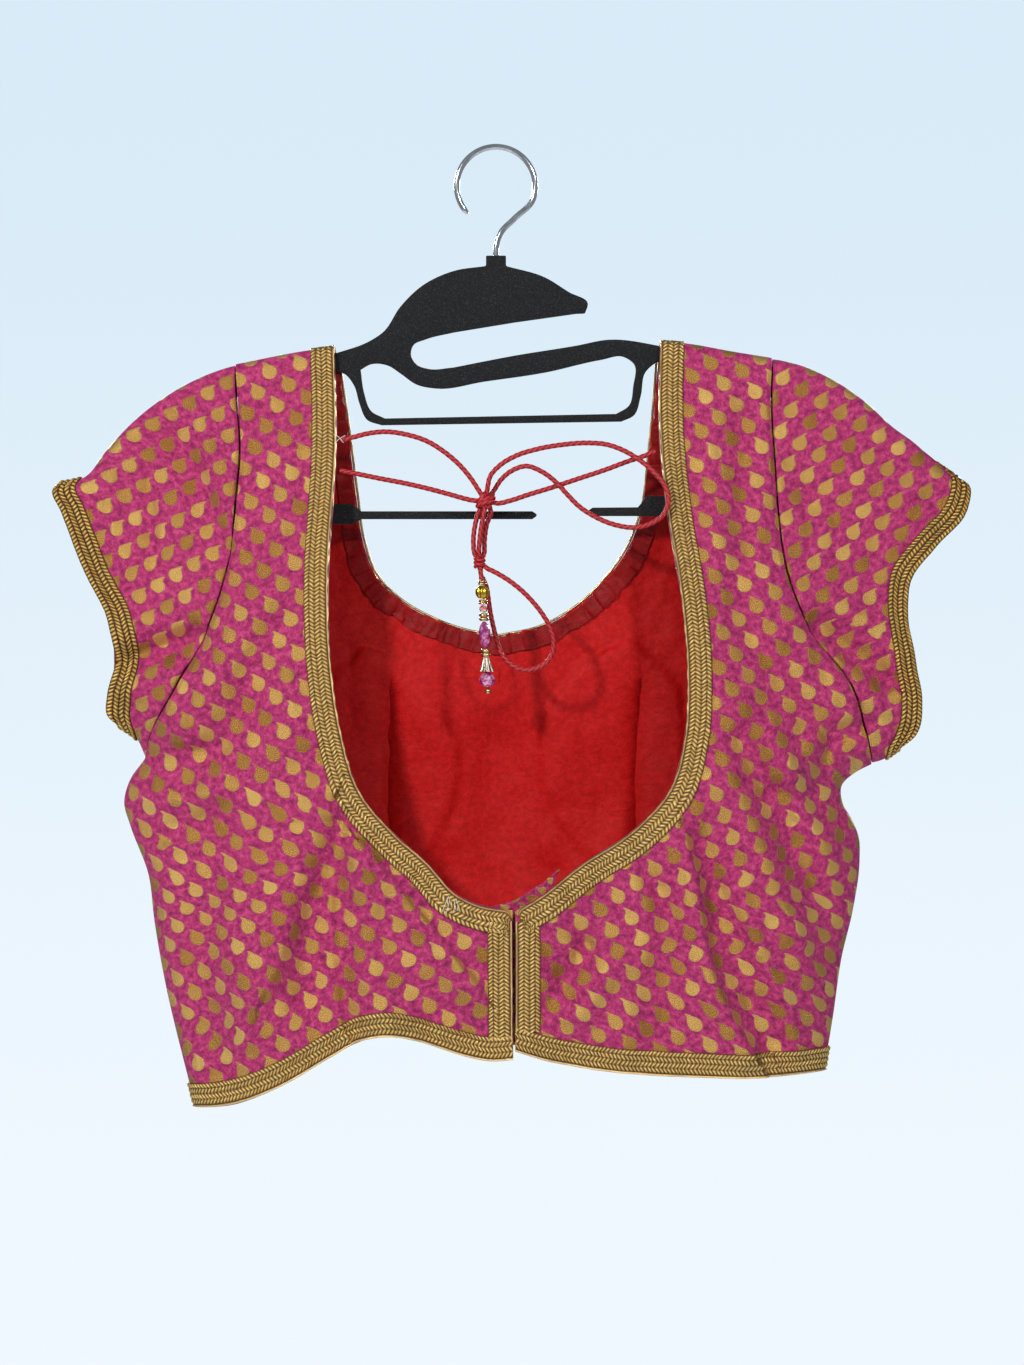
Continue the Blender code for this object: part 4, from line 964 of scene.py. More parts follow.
def swept(name, tubes, finish, smooth=True):
    """One mesh from sets of rings: each set is closed round and capped at both ends, and its flat place runs
    round by 0 to 1 and along in centimetres."""
    points, faces, places, base = [], [], [], 0
    for rings in tubes:
        rows, sides = rings.shape[:2]
        index = np.arange(rows * sides).reshape(rows, sides)
        after = np.roll(index, -1, axis=1)
        quads = np.stack([index[:-1], after[:-1], after[1:], index[1:]], -1).reshape(-1, 4)
        step = np.linalg.norm(np.diff(rings.mean(axis=1), axis=0), axis=1)
        run = np.concatenate([[0], np.cumsum(step)])[:, None] / 10 * np.ones((1, sides))
        turn = np.arange(sides)[None, :] / sides * np.ones((rows, 1))
        flat = np.stack([turn, run], -1)
        ahead = np.stack([turn + 1 / sides, run], -1)
        corner = np.stack([flat[:-1], ahead[:-1], ahead[1:], flat[1:]], 2).reshape(-1, 4, 2)
        corners = rings.reshape(-1, 3)[quads]
        normal = np.cross(corners[:, 2] - corners[:, 0], corners[:, 3] - corners[:, 1])
        middle = rings[:-1].mean(axis=1)[:, None, :] * np.ones((1, sides, 1))
        inside_out = (normal * (corners.mean(axis=1) - middle.reshape(-1, 3))).sum() < 0
        caps = [index[0][::-1].tolist(), index[-1].tolist()]
        cap_places = [flat[0][::-1], flat[-1]]
        if inside_out:
            quads, corner = quads[:, ::-1], corner[:, ::-1]
            caps, cap_places = [cap[::-1] for cap in caps], [place[::-1] for place in cap_places]
        points.append(rings.reshape(-1, 3))
        faces += (quads + base).tolist() + [[k + base for k in cap] for cap in caps]
        places += [corner.reshape(-1, 2), *cap_places]
        base += rows * sides
    obj = add_mesh(name, np.concatenate(points), faces, finish, smooth)
    obj.data.uv_layers.new(name="Cloth").data.foreach_set("uv", np.concatenate(places).reshape(-1))
    return obj


def path_through(rows, spacing=0.6):
    """Points at even steps on a smooth curve through the rows."""
    line = smooth_line(rows, 24)
    return at(line, np.linspace(0, 1, int(line_length(line) / spacing) + 2))


def into_knots(route):
    """A route whose ends beside a knot run on into it; the curl's far end runs on up behind the tassel's
    ball."""
    rows = [tuple(row) for row in route]
    for knot in (BOW_KNOT, LOWER_KNOT):
        centre = np.array(knot)
        for first in (True, False):
            end = np.array(rows[0 if first else -1])
            if np.linalg.norm((end - centre)[[0, 2]]) < 9:
                inside = tuple(end + 0.7 * (centre - end))
                rows = [inside, *rows] if first else [*rows, inside]
    if route is CORD_ROUTES["tie_cord_curl"]:
        rows += [(-5.0, -12.4, -241.5), (-7.0, -16.4, -236.2)]
    return rows


def tie_cords(red, thread):
    """The tie cords in their stretches, with the two knots and the white sewing thread."""
    made, paths = {}, {}
    for name, route in CORD_ROUTES.items():
        paths[name] = path_through(into_knots(route))
        obj = swept(name + "_twisted", [cord_rings(paths[name], CORD, 14)], red)
        made[name] = piece(obj, name, slot="red_cord")
    made["bow_knot"] = piece(bow_knot(red), "bow_knot", slot="red_cord")
    made["lower_knot"] = piece(lower_knot(red), "lower_knot", slot="red_cord")
    sewing_ends(thread)
    return made, paths


def bow_knot(finish):
    """A pulled-tight knot of the same cord: two slanting turns round the strands, one crossing the other."""
    turn = np.linspace(0.6 * np.pi, 4.4 * np.pi, 130)
    x, y, z = BOW_KNOT
    share = (turn - turn[0]) / (turn[-1] - turn[0])
    path = np.stack([x + 4.2 * np.sin(turn), y - 3.1 * np.cos(turn),
                     z + 2.1 - 4.4 * share + 1.7 * np.sin(turn + 0.5 * share)], -1)
    core = np.stack([x + 1.6 * np.cos(turn * 0.5), np.full(turn.size, y), z + 4.2 - 8.4 * share], -1)
    return swept("bow_knot_tied", [cord_rings(path, 2.8, 12), cord_rings(core[::4], 4.4, 12)], finish)


def lower_knot(finish):
    """Two and a half turns of cord wound round the strands below the bow."""
    turn = np.linspace(0, 5 * np.pi, 120)
    x, y, z = LOWER_KNOT
    path = np.stack([x + 2.3 * np.cos(turn), y + 2.1 * np.sin(turn), z + 2.9 - 5.8 * turn / turn[-1]
                     + 0.5 * np.sin(turn)], -1)
    core = np.stack([np.linspace(x - 0.8, x + 0.4, 12), np.full(12, y),
                     np.linspace(z + 4.6, z - 4.6, 12)], -1)
    return swept("lower_knot_tied", [cord_rings(path, 2.3, 12), cord_rings(core, 3.2, 12)], finish)


def sewing_ends(finish):
    """White thread: the stitches that hold the upper tie to the neck, and the loose ends on the left
    braid."""
    ends = [
        [(-88.5, -17.6, -158), (-85.5, -18.6, -159.5), (-83, -18.4, -162.5)],
        [(-88, -17.8, -163), (-85.3, -18.8, -160.6), (-82, -18.5, -158.6)],
    ]
    loose = [
        [(-25.5, 0, -408.5), (-27.2, -1.2, -412.5), (-28.8, -0.6, -416.8)],
        [(-24.6, 0, -409), (-25.4, -1.4, -413), (-26.6, -0.8, -417.5)],
        [(-22.6, 0, -410), (-22.2, -1.3, -413.5), (-22.8, -0.6, -417.2)],
        [(-21.4, 0, -410.4), (-20.4, -1.2, -413.4), (-20.8, -0.6, -416.4)],
    ]
    for rows in loose:
        height = half_depth(np.array([row[0] for row in rows]), np.array([row[2] for row in rows]), "back")
        ends.append([(x, y - h - 2.0, z) for (x, y, z), h in zip(rows, height)])
    rings = [cord_rings(path_through(rows, 0.4), THREAD, 6) for rows in ends]
    return piece(swept("sewing_thread_ends", rings, finish), slot="gold_braid")


def turned_rings(centre, height, radius, share, sides, rows, lobes=0, depth=0.0, lean=0.0):
    """Rings of a bead from its top down: the radius is a share of the greatest at each level, and may be
    fluted into lobes that lean round as they go down."""
    fall = np.linspace(0, 1, rows)[:, None]
    angle = np.linspace(0, 2 * np.pi, sides, endpoint=False)[None, :] + lean * fall
    reach = radius * share(fall) * (1 - depth * (0.5 + 0.5 * np.cos(lobes * angle)))
    x = centre[0] + TASSEL_LEAN * height * fall + reach * np.cos(angle)
    y = centre[1] + reach * np.sin(angle)
    z = centre[2] - height * fall * np.ones_like(angle)
    return np.stack([x, y, z], -1)


def oval(fall, flat=1.0):
    """An oval bead's radius from top to bottom, as a share of its greatest, with blunt ends at the thread."""
    return np.maximum(np.sqrt(np.clip(1 - (2 * fall - 1) ** 2, 0, 1)) ** flat, 0.22)


def tassel(finishes):
    """The beads and rings on the cord's end: turned rings, a fluted ball, cut glass beads and a
    grooved bell."""
    made = []
    for name, top, height, radius, kind in TASSEL:
        x = TASSEL_AXIS[0] + TASSEL_LEAN * (TASSEL[0][1] - top)
        centre, smooth = (x, TASSEL_AXIS[1], top), True
        if kind == "ring":
            share = lambda q: 0.66 + 0.34 * np.abs(np.sin(2 * np.pi * np.clip(q, 0.02, 0.98))) ** 0.5
            rings = turned_rings(centre, height, radius, share, 28, 33)
        elif name == "tassel_ball":
            rings = turned_rings(centre, height, radius, lambda q: oval(q, 0.8), 54, 25, 9, 0.16)
        elif kind == "bell":
            share = lambda q: 0.42 + 0.58 * q**1.3
            rings = turned_rings(centre, height, radius, share, 64, 25, 8, 0.22)
        elif name == "tassel_tip":
            rings = turned_rings(centre, height, radius, lambda q: oval(q), 20, 15)
        else:
            rings = turned_rings(centre, height, radius, lambda q: oval(q, 0.9), 9, 8, lean=0.7)
            smooth = False
        obj = swept(name + "_cut" if not smooth else name + "_turned", [rings], finishes[name][0], smooth)
        made.append(piece(obj, name, slot=finishes[name][1]))
    return made


def hanger(black, chrome):
    """The flat plate with soft edges, and the wire hook with a rounded tip."""
    mesh = bpy.data.meshes.new("hanger_plate")
    form = bmesh.new()
    edges = []
    for outline in (PLATE_OUTLINE, PLATE_HOLE):
        parts = [smooth_line(part, 8) if len(part) > 2 else np.array(part, float) for part in outline]
        rows = np.concatenate(parts)
        keep = np.linalg.norm(rows - np.roll(rows, 1, axis=0), axis=1) > 0.05
        corners = [form.verts.new((x * MM, -PLATE / 2 * MM, z * MM)) for x, z in rows[keep]]
        edges += [form.edges.new((a, b)) for a, b in zip(corners, corners[1:] + corners[:1])]
    filled = bmesh.ops.triangle_fill(form, use_beauty=True, use_dissolve=False, edges=edges)
    faces = [item for item in filled["geom"] if isinstance(item, bmesh.types.BMFace)]
    drawn = bmesh.ops.extrude_face_region(form, geom=faces, use_keep_orig=True)
    moved = [item for item in drawn["geom"] if isinstance(item, bmesh.types.BMVert)]
    bmesh.ops.translate(form, verts=moved, vec=(0, PLATE * MM, 0))
    bmesh.ops.recalc_face_normals(form, faces=form.faces)
    border = [e for e in form.edges if e.calc_face_angle(0) > 1.2]
    bmesh.ops.bevel(form, geom=border, offset=0.7 * MM, segments=3, affect="EDGES", profile=0.5)
    form.to_mesh(mesh)
    form.free()
    mesh.materials.append(black)
    body = bpy.data.objects.new("hanger_plate", mesh)
    bpy.context.scene.collection.objects.link(body)
    mesh.shade_smooth()
    mesh.set_sharp_from_angle(angle=np.radians(40))
    piece(body, "hanger_body", slot="black_flock")

    ring = HOOK_RADIUS + WIRE / 2
    turn = np.radians(np.arange(-20, 226, 5))
    arc = [(ring * np.cos(a), 0, -HOOK_RADIUS + ring * np.sin(a)) for a in turn]
    stem = [(0, 0, STUB_TOP + 0.3), (0, 0, -54), (2.5, 0, -46), (10, 0, -38)]
    path = path_through(stem + arc, 0.8)
    rings = cord_rings(path, WIRE, 24, 0)
    ball = np.sqrt(np.clip(1 - (np.arange(6, 0, -1) / 6.2) ** 2, 0, 1))
    rings[-6:] = path[-6:, None, :] + (rings[-6:] - path[-6:, None, :]) * ball[::-1][:, None, None]
    piece(swept("hanger_hook_wire", [rings], chrome), "hanger_hook", slot="chrome_wire")
    return body


# ---------------------------------------------------------------- finishes


class Nodes:
    """Short calls that add nodes to one tree and hand back their outputs."""

    def __init__(self, tree):
        self.tree = tree

    def feed(self, socket, value):
        """Links a value to a socket, or sets it as the socket's constant."""
        if isinstance(value, bpy.types.NodeSocket):
            self.tree.links.new(value, socket)
        else:
            socket.default_value = value

    def add(self, kind, inputs=None, output=0, **settings):
        """A node with its settings and inputs, as one of its outputs."""
        node = self.tree.nodes.new(kind)
        for name, value in settings.items():
            setattr(node, name, value)
        for name, value in (inputs or {}).items():
            self.feed(node.inputs[name], value)
        return node.outputs[output]

    def math(self, operation, *values):
        return self.add("ShaderNodeMath", dict(enumerate(values)), operation=operation)

    def vector(self, operation, *values, output=0):
        return self.add("ShaderNodeVectorMath", dict(enumerate(values)), output, operation=operation)

    def smooth(self, value, low, high, to_low=0.0, to_high=1.0):
        """Maps a range with a slow start and a slow stop."""
        settings = {"Value": value, 1: low, 2: high, 3: to_low, 4: to_high}
        return self.add("ShaderNodeMapRange", settings, interpolation_type="SMOOTHSTEP")

    def noise(self, vector, scale, detail=3.0, roughness=0.55):
        inputs = {"Vector": vector, "Scale": scale, "Detail": detail, "Roughness": roughness}
        return self.add("ShaderNodeTexNoise", inputs)

    def ramp(self, value, *stops):
        """A colour ramp through stops of (place, colour)."""
        node = self.tree.nodes.new("ShaderNodeValToRGB")
        self.tree.links.new(value, node.inputs[0])
        steps = node.color_ramp.elements
        for number, (place, colour) in enumerate(stops):
            step = steps[number] if number < 2 else steps.new(place)
            step.position, step.color = place, (*colour, 1)
        return node.outputs[0]

    def blend(self, share, a, b):
        """Colour a, and by this share colour b instead."""
        node = self.tree.nodes.new("ShaderNodeMix")
        node.data_type, node.clamp_factor = "RGBA", True
        for number, value in ((0, share), (6, a), (7, b)):
            self.feed(node.inputs[number], (*value, 1) if isinstance(value, tuple) else value)
        return node.outputs[2]

    def scaled(self, vector, x, y, z=1.0):
        return self.vector("MULTIPLY", vector, (x, y, z))

    def group(self, tree, inputs):
        """A group node, as its outputs by name."""
        return self.add("ShaderNodeGroup", inputs, 0, node_tree=tree).node.outputs


def new_group(name, inputs, outputs, build):
    """A shader node group: build gets the tree's Nodes and the input sockets, and returns the output
    values."""
    tree = bpy.data.node_groups.new(name, "ShaderNodeTree")
    for socket, kind in inputs.items():
        tree.interface.new_socket(name=socket, in_out="INPUT", socket_type=kind)
    for socket, kind in outputs.items():
        tree.interface.new_socket(name=socket, in_out="OUTPUT", socket_type=kind)
    entry, leave = tree.nodes.new("NodeGroupInput"), tree.nodes.new("NodeGroupOutput")
    made = build(Nodes(tree), entry.outputs)
    for socket, value in made.items():
        tree.links.new(value, leave.inputs[socket])
    return tree


def new_finish(name, build, **sockets):
    """A material: its shader's constants come from the sockets given, and build links what varies."""
    made = bpy.data.materials.new(name)
    made.use_nodes = True
    shader = made.node_tree.nodes["Principled BSDF"]
    for socket, value in sockets.items():
        shader.inputs[socket.replace("_", " ")].default_value = value
    nodes = Nodes(made.node_tree)
    for socket, value in build(nodes).items():
        made.node_tree.links.new(value, shader.inputs[socket])
    return made


def bumped(nodes, height, strength=1.0):
    """The normal for a height in mm."""
    return nodes.add("ShaderNodeBump", {"Height": height, "Distance": MM, "Strength": strength})


def cloth_place(nodes):
    """The flat place on the cut piece."""
    return nodes.add("ShaderNodeUVMap", uv_map="Cloth")


def kairi_group():
    """The woven drop: of the two staggered lattices, the nearer cell's place in mm, leaned; its tip is bent
    over by the square of the height, and the drop is where the bent place lies within a half width drawn by
    a curve."""

    def build(n, entry):
        size = (REPEAT[0], REPEAT[1], 1.0)
        cells = []
        for shift in (0.0, 0.5):
            moved = n.vector("ADD", entry["Place"], (shift, shift, 0))
            cell = n.vector("FLOOR", moved)
            inside = n.vector("SUBTRACT", n.vector("SUBTRACT", moved, cell), (0.5, 0.5, 0))
            inside = n.vector("MULTIPLY", inside, size)
            flat = n.vector("MULTIPLY", inside, (1, 1, 0))
            length = n.vector("LENGTH", flat, output=1)
            cells.append((flat, length, n.vector("ADD", cell, (37 * shift, 0, 0))))
        nearer = n.math("GREATER_THAN", cells[0][1], cells[1][1])
        place = n.add("ShaderNodeMix", {0: nearer, 4: cells[0][0], 5: cells[1][0]}, 1, data_type="VECTOR")
        cell = n.add("ShaderNodeMix", {0: nearer, 4: cells[0][2], 5: cells[1][2]}, 1, data_type="VECTOR")
        turned = {"Vector": place, "Angle": entry["Lean"]}
        place = n.add("ShaderNodeVectorRotate", turned, rotation_type="Z_AXIS")
        split = n.add("ShaderNodeSeparateXYZ", {0: place}, 0).node
        x = n.math("MULTIPLY", split.outputs[0], entry["Curl"])
        y = split.outputs[1]
        over = n.math("MAXIMUM", n.math("SUBTRACT", y, 0.2), 0.0)
        bent = n.math("ADD", x, n.math("MULTIPLY", n.math("MULTIPLY", over, over), 0.12))
        edge = n.math("MULTIPLY", n.math("SUBTRACT", n.noise(entry["Place"], 26.0, 2.0), 0.5), 1.0)
        share = n.math("DIVIDE", n.math("ADD", y, 4.9), 10.2)
        width = n.tree.nodes.new("ShaderNodeFloatCurve")
        curve = width.mapping.curves[0]
        rows = [(0, 0), (0.04, 0.46), (0.13, 0.80), (0.3, 1.03), (0.45, 1.06), (0.58, 0.95), (0.7, 0.72),
                (0.8, 0.45), (0.9, 0.3), (0.97, 0.22), (1, 0)]
        for number, row in enumerate(rows):
            if number in (0, len(rows) - 1):
                curve.points[0 if number == 0 else -1].location = row
            else:
                curve.points.new(*row)
        width.mapping.update()
        n.tree.links.new(share, width.inputs["Value"])
        half = n.math("MULTIPLY", width.outputs[0], 4.0)
        inside = n.math("SUBTRACT", half, n.math("ABSOLUTE", bent))
        inside = n.math("ADD", inside, n.math("MULTIPLY", edge, 0.5))
        motif = n.smooth(inside, 0.05, 0.4)
        # A narrow ring along each drop's edge; the brocade uses it only for a painted pale highlight, the
        # light caught by the raised edge.
        near = n.smooth(n.math("ABSOLUTE", n.math("SUBTRACT", inside, 0.1)), 0.0, 0.75, 1.0, 0.0)
        tone = n.add("ShaderNodeTexWhiteNoise", {0: cell}, 0, noise_dimensions="3D")
        relief = n.smooth(inside, -0.5, 0.9)
        return {"Motif": motif, "Rim highlight": near, "Relief": relief, "Tone": tone}

    inputs = {"Place": "NodeSocketVector", "Lean": "NodeSocketFloat", "Curl": "NodeSocketFloat"}
    outputs = {name: "NodeSocketFloat" for name in ("Motif", "Rim highlight", "Relief", "Tone")}
    return new_group("Kairi drop", inputs, outputs, build)


def weave_group():
    """Heathered cloth, for a place in mm: soft patches, fibres drawn out one way, and a fine grain."""

    def build(n, entry):
        place = entry["Place"]
        patches = n.noise(place, 0.30, 4.0, 0.6)
        fibres = n.noise(n.scaled(place, 2.4, 0.55), 1.0, 3.0, 0.6)
        grain = n.noise(place, 2.6, 2.0, 0.6)
        tone = n.math("ADD", n.math("MULTIPLY", patches, 0.5), n.math("MULTIPLY", fibres, 0.28))
        tone = n.math("ADD", tone, n.math("MULTIPLY", grain, 0.22))
        return {"Tone": tone, "Patches": patches, "Grain": grain}

    outputs = {name: "NodeSocketFloat" for name in ("Tone", "Patches", "Grain")}
    return new_group("Heathered weave", {"Place": "NodeSocketVector"}, outputs, build)


def brocade_finish(name, groups):
    """Pink silk with gold drops: the gold is metal thread, grainy, and the ground puckers between the
    drops. Its colour holds painted light: the ground runs from a shaded to a lit pink, lighter on its raised
    patches; the gold is speckled with painted glints and shade; a painted pale highlight rings each drop."""

    def build(n):
        place = cloth_place(n)
        lean, curl = LEAN[name]
        drop = n.group(groups["kairi"], {"Place": place, "Lean": np.radians(lean), "Curl": curl})
        millimetres = n.scaled(place, *REPEAT)
        weave = n.group(groups["weave"], {"Place": millimetres})
        # Painted shade and light: the heathered tone runs from a shaded pink to a lit pink, and the soft
        # patches that raise the puckers also make it lighter on their tops and darker between them; the
        # fibres and grain are the cloth's own heather.
        ground = n.ramp(weave["Tone"], (0.39, (0.18, 0.002, 0.066)), (0.5, (0.41, 0.018, 0.122)),
                        (0.62, (0.63, 0.076, 0.208)))
        # Painted highlight: a pale pink ring just outside each drop, standing for light on its raised edge.
        rim = n.math("MULTIPLY", drop["Rim highlight"], n.math("SUBTRACT", 1.0, drop["Motif"]))
        ground = n.blend(n.math("MULTIPLY", rim, 0.30), ground, (0.72, 0.16, 0.26))
        # Painted glints and shade: the fine grain speckles the gold from a shaded brown to a bright lit
        # yellow; a little tone also differs at random from drop to drop.
        grain = n.math("MULTIPLY", weave["Grain"], 0.88)
        grain = n.math("ADD", grain, n.math("MULTIPLY", drop["Tone"], 0.13))
        gold = n.ramp(grain, (0.38, (0.20, 0.055, 0.010)), (0.50, (0.52, 0.250, 0.052)),
                      (0.63, (0.92, 0.62, 0.20)))
        colour = n.blend(drop["Motif"], ground, gold)
        metal = n.math("MULTIPLY", drop["Motif"], 0.78)
        rough = n.math("ADD", n.math("MULTIPLY", drop["Motif"], -0.28), 0.66)
        rough = n.math("ADD", rough, n.math("MULTIPLY", weave["Grain"], 0.08))
        pucker = n.math("MULTIPLY", weave["Patches"], n.math("SUBTRACT", 1.25, drop["Motif"]))
        height = n.math("ADD", n.math("MULTIPLY", drop["Relief"], 0.42), n.math("MULTIPLY", pucker, 1.35))
        thread = n.math("ADD", 0.16, n.math("MULTIPLY", drop["Motif"], 0.30))
        thread = n.math("MULTIPLY", weave["Grain"], thread)
        height = n.math("ADD", height, thread)
        return {"Base Color": colour, "Metallic": metal, "Roughness": rough, "Normal": bumped(n, height)}

    return new_finish("brocade_" + name, build, Sheen_Weight=0.14, Sheen_Roughness=0.45,
                      Sheen_Tint=(1.0, 0.62, 0.80, 1), Specular_IOR_Level=0.35)


def lining_finish(name, dark, middle, light, roughness, groups):
    """Crepe: a fine pebbled grain over slight changes of tone."""

    def build(n):
        place = n.scaled(cloth_place(n), 10.0, 10.0)
        weave = n.group(groups["weave"], {"Place": place})
        colour = n.ramp(weave["Tone"], (0.33, dark), (0.5, middle), (0.68, light))
        crepe = n.noise(n.scaled(place, 1.0, 0.6), 1.5, 2.0, 0.5)
        height = n.math("ADD", n.math("MULTIPLY", crepe, 0.22), n.math("MULTIPLY", weave["Grain"], 0.08))
        height = n.math("ADD", height, n.math("MULTIPLY", weave["Patches"], 0.35))
        rough = n.math("ADD", roughness - 0.05, n.math("MULTIPLY", weave["Grain"], 0.1))
        return {"Base Color": colour, "Roughness": rough, "Normal": bumped(n, height)}

    return new_finish(name, build, Sheen_Weight=0.04, Sheen_Roughness=0.5, Sheen_Tint=(1.0, 0.3, 0.25, 1),
                      Specular_IOR_Level=0.18)


def braid_finish(name, dark, middle, light, edge, groups):
    """Plaited metal thread: gold on the stitches with painted shade in dark red-brown between them, and a
    paler cord on the edge."""

    def build(n):
        place = n.scaled(cloth_place(n), 10.0, 10.0)
        stitch = n.add("ShaderNodeAttribute", {}, 2, attribute_name="stitch")
        edging = n.add("ShaderNodeAttribute", {}, 2, attribute_name="edging")
        weave = n.group(groups["weave"], {"Place": n.scaled(place, 1.2, 1.2)})
        # Painted shade and light: the stitch mark is how high the plait stands, so the colour is darkest in
        # the gaps between stitches and brightest on their tops; the grain adds random tone.
        value = n.math("ADD", stitch, n.math("MULTIPLY", n.math("SUBTRACT", weave["Grain"], 0.5), 0.9))
        gold = n.ramp(value, (0.16, dark), (0.52, middle), (0.98, light))
        cord = n.ramp(value, (0.2, dark), (0.6, edge))
        colour = n.blend(edging, gold, cord)
        metal = n.smooth(value, 0.1, 0.45, 0.1, 0.85)
        rough = n.math("ADD", 0.30, n.math("MULTIPLY", weave["Grain"], 0.18))
        threads = n.noise(n.scaled(place, 1.0, 1.0), 3.2, 2.0, 0.6)
        return {"Base Color": colour, "Metallic": metal, "Roughness": rough,
                "Normal": bumped(n, n.math("MULTIPLY", threads, 0.28))}

    return new_finish(name, build, Specular_IOR_Level=0.4)


def cord_finish():
    """Red rayon cord: three strands wound round, with painted shade between them and fine fibres along each.
    """

    def build(n):
        place = cloth_place(n)
        split = n.add("ShaderNodeSeparateXYZ", {0: place}, 0).node
        wind = n.math("SUBTRACT", n.math("MULTIPLY", split.outputs[0], 6 * np.pi),
                      n.math("MULTIPLY", split.outputs[1], 18.6))
        strand = n.math("ADD", n.math("MULTIPLY", n.math("COSINE", wind), 0.5), 0.5)
        fibre = n.noise(n.scaled(place, 9.0, 14.0), 1.6, 3.0, 0.6)
        # Painted shade: the winding wave darkens the colour between the strands and lightens their crowns.
        value = n.math("ADD", n.math("MULTIPLY", strand, 0.45), n.math("MULTIPLY", fibre, 0.6))
        colour = n.ramp(value, (0.2, (0.10, 0.001, 0.003)), (0.5, (0.38, 0.004, 0.010)),
                        (0.85, (0.62, 0.020, 0.030)))
        height = n.math("ADD", n.math("MULTIPLY", strand, 0.12), n.math("MULTIPLY", fibre, 0.12))
        rough = n.math("ADD", 0.42, n.math("MULTIPLY", fibre, 0.2))
        return {"Base Color": colour, "Roughness": rough, "Normal": bumped(n, height)}

    return new_finish("red_cord", build, Sheen_Weight=0.04, Sheen_Tint=(1.0, 0.5, 0.5, 1))


def metal_finish(name, dark, light, roughness, scale, depth):
    """Metal with small unevenness of tone and surface, on the object's own coordinates in mm."""

    def build(n):
        place = n.scaled(n.add("ShaderNodeTexCoord", {}, 3), 1000, 1000, 1000)
        cloudy = n.noise(place, scale, 4.0, 0.6)
        colour = n.ramp(cloudy, (0.35, dark), (0.62, light))
        rough = n.math("ADD", roughness - 0.05, n.math("MULTIPLY", cloudy, 0.12))
        height = n.math("MULTIPLY", cloudy, depth)
        return {"Base Color": colour, "Roughness": rough, "Normal": bumped(n, height)}

    return new_finish(name, build, Metallic=1.0)


def bead_finish(name, low, middle, high, metallic):
    """Coated cut glass under a clear coat: colours drift across it between a dark and a pale tone, partly the
    coating's own tint and partly painted reflections.
    """

    def build(n):
        place = n.scaled(n.add("ShaderNodeTexCoord", {}, 3), 1000, 1000, 1000)
        cloudy = n.noise(place, 0.42, 3.0, 0.6)
        # Painted reflections: the ramp's dark and pale ends stand for reflections in the glass; the clear red
        # glass's near white end is one.
        colour = n.ramp(cloudy, (0.38, low), (0.5, middle), (0.62, high))
        rough = n.math("ADD", 0.06, n.math("MULTIPLY", cloudy, 0.12))
        return {"Base Color": colour, "Roughness": rough}

    return new_finish(name, build, Metallic=metallic, Coat_Weight=0.8, Coat_Roughness=0.05)


def flock_finish():
    """Black flock: tiny pale flecks and a soft short pile."""

    def build(n):
        place = n.scaled(n.add("ShaderNodeTexCoord", {}, 3), 1000, 1000, 1000)
        fleck = n.noise(place, 1.7, 3.0, 0.7)
        shade = n.noise(place, 0.05, 2.0, 0.5)
        colour = n.ramp(fleck, (0.4, (0.004, 0.004, 0.005)), (0.56, (0.010, 0.010, 0.011)),
                        (0.72, (0.05, 0.05, 0.055)))
        height = n.math("ADD", n.math("MULTIPLY", fleck, 0.25), n.math("MULTIPLY", shade, 0.3))
        rough = n.math("ADD", 0.7, n.math("MULTIPLY", fleck, 0.2))
        return {"Base Color": colour, "Roughness": rough, "Normal": bumped(n, height)}

    return new_finish("black_flock", build, Specular_IOR_Level=0.25, Sheen_Weight=0.08)


def thread_finish():
    """Matt white thread."""

    def build(n):
        place = n.scaled(cloth_place(n), 8.0, 10.0)
        fibre = n.noise(place, 1.5, 2.0, 0.6)
        return {"Base Color": n.ramp(fibre, (0.3, (0.62, 0.58, 0.55)), (0.7, (0.9, 0.88, 0.85))),
                "Normal": bumped(n, n.math("MULTIPLY", fibre, 0.05))}

    return new_finish("white_thread", build, Roughness=0.6)


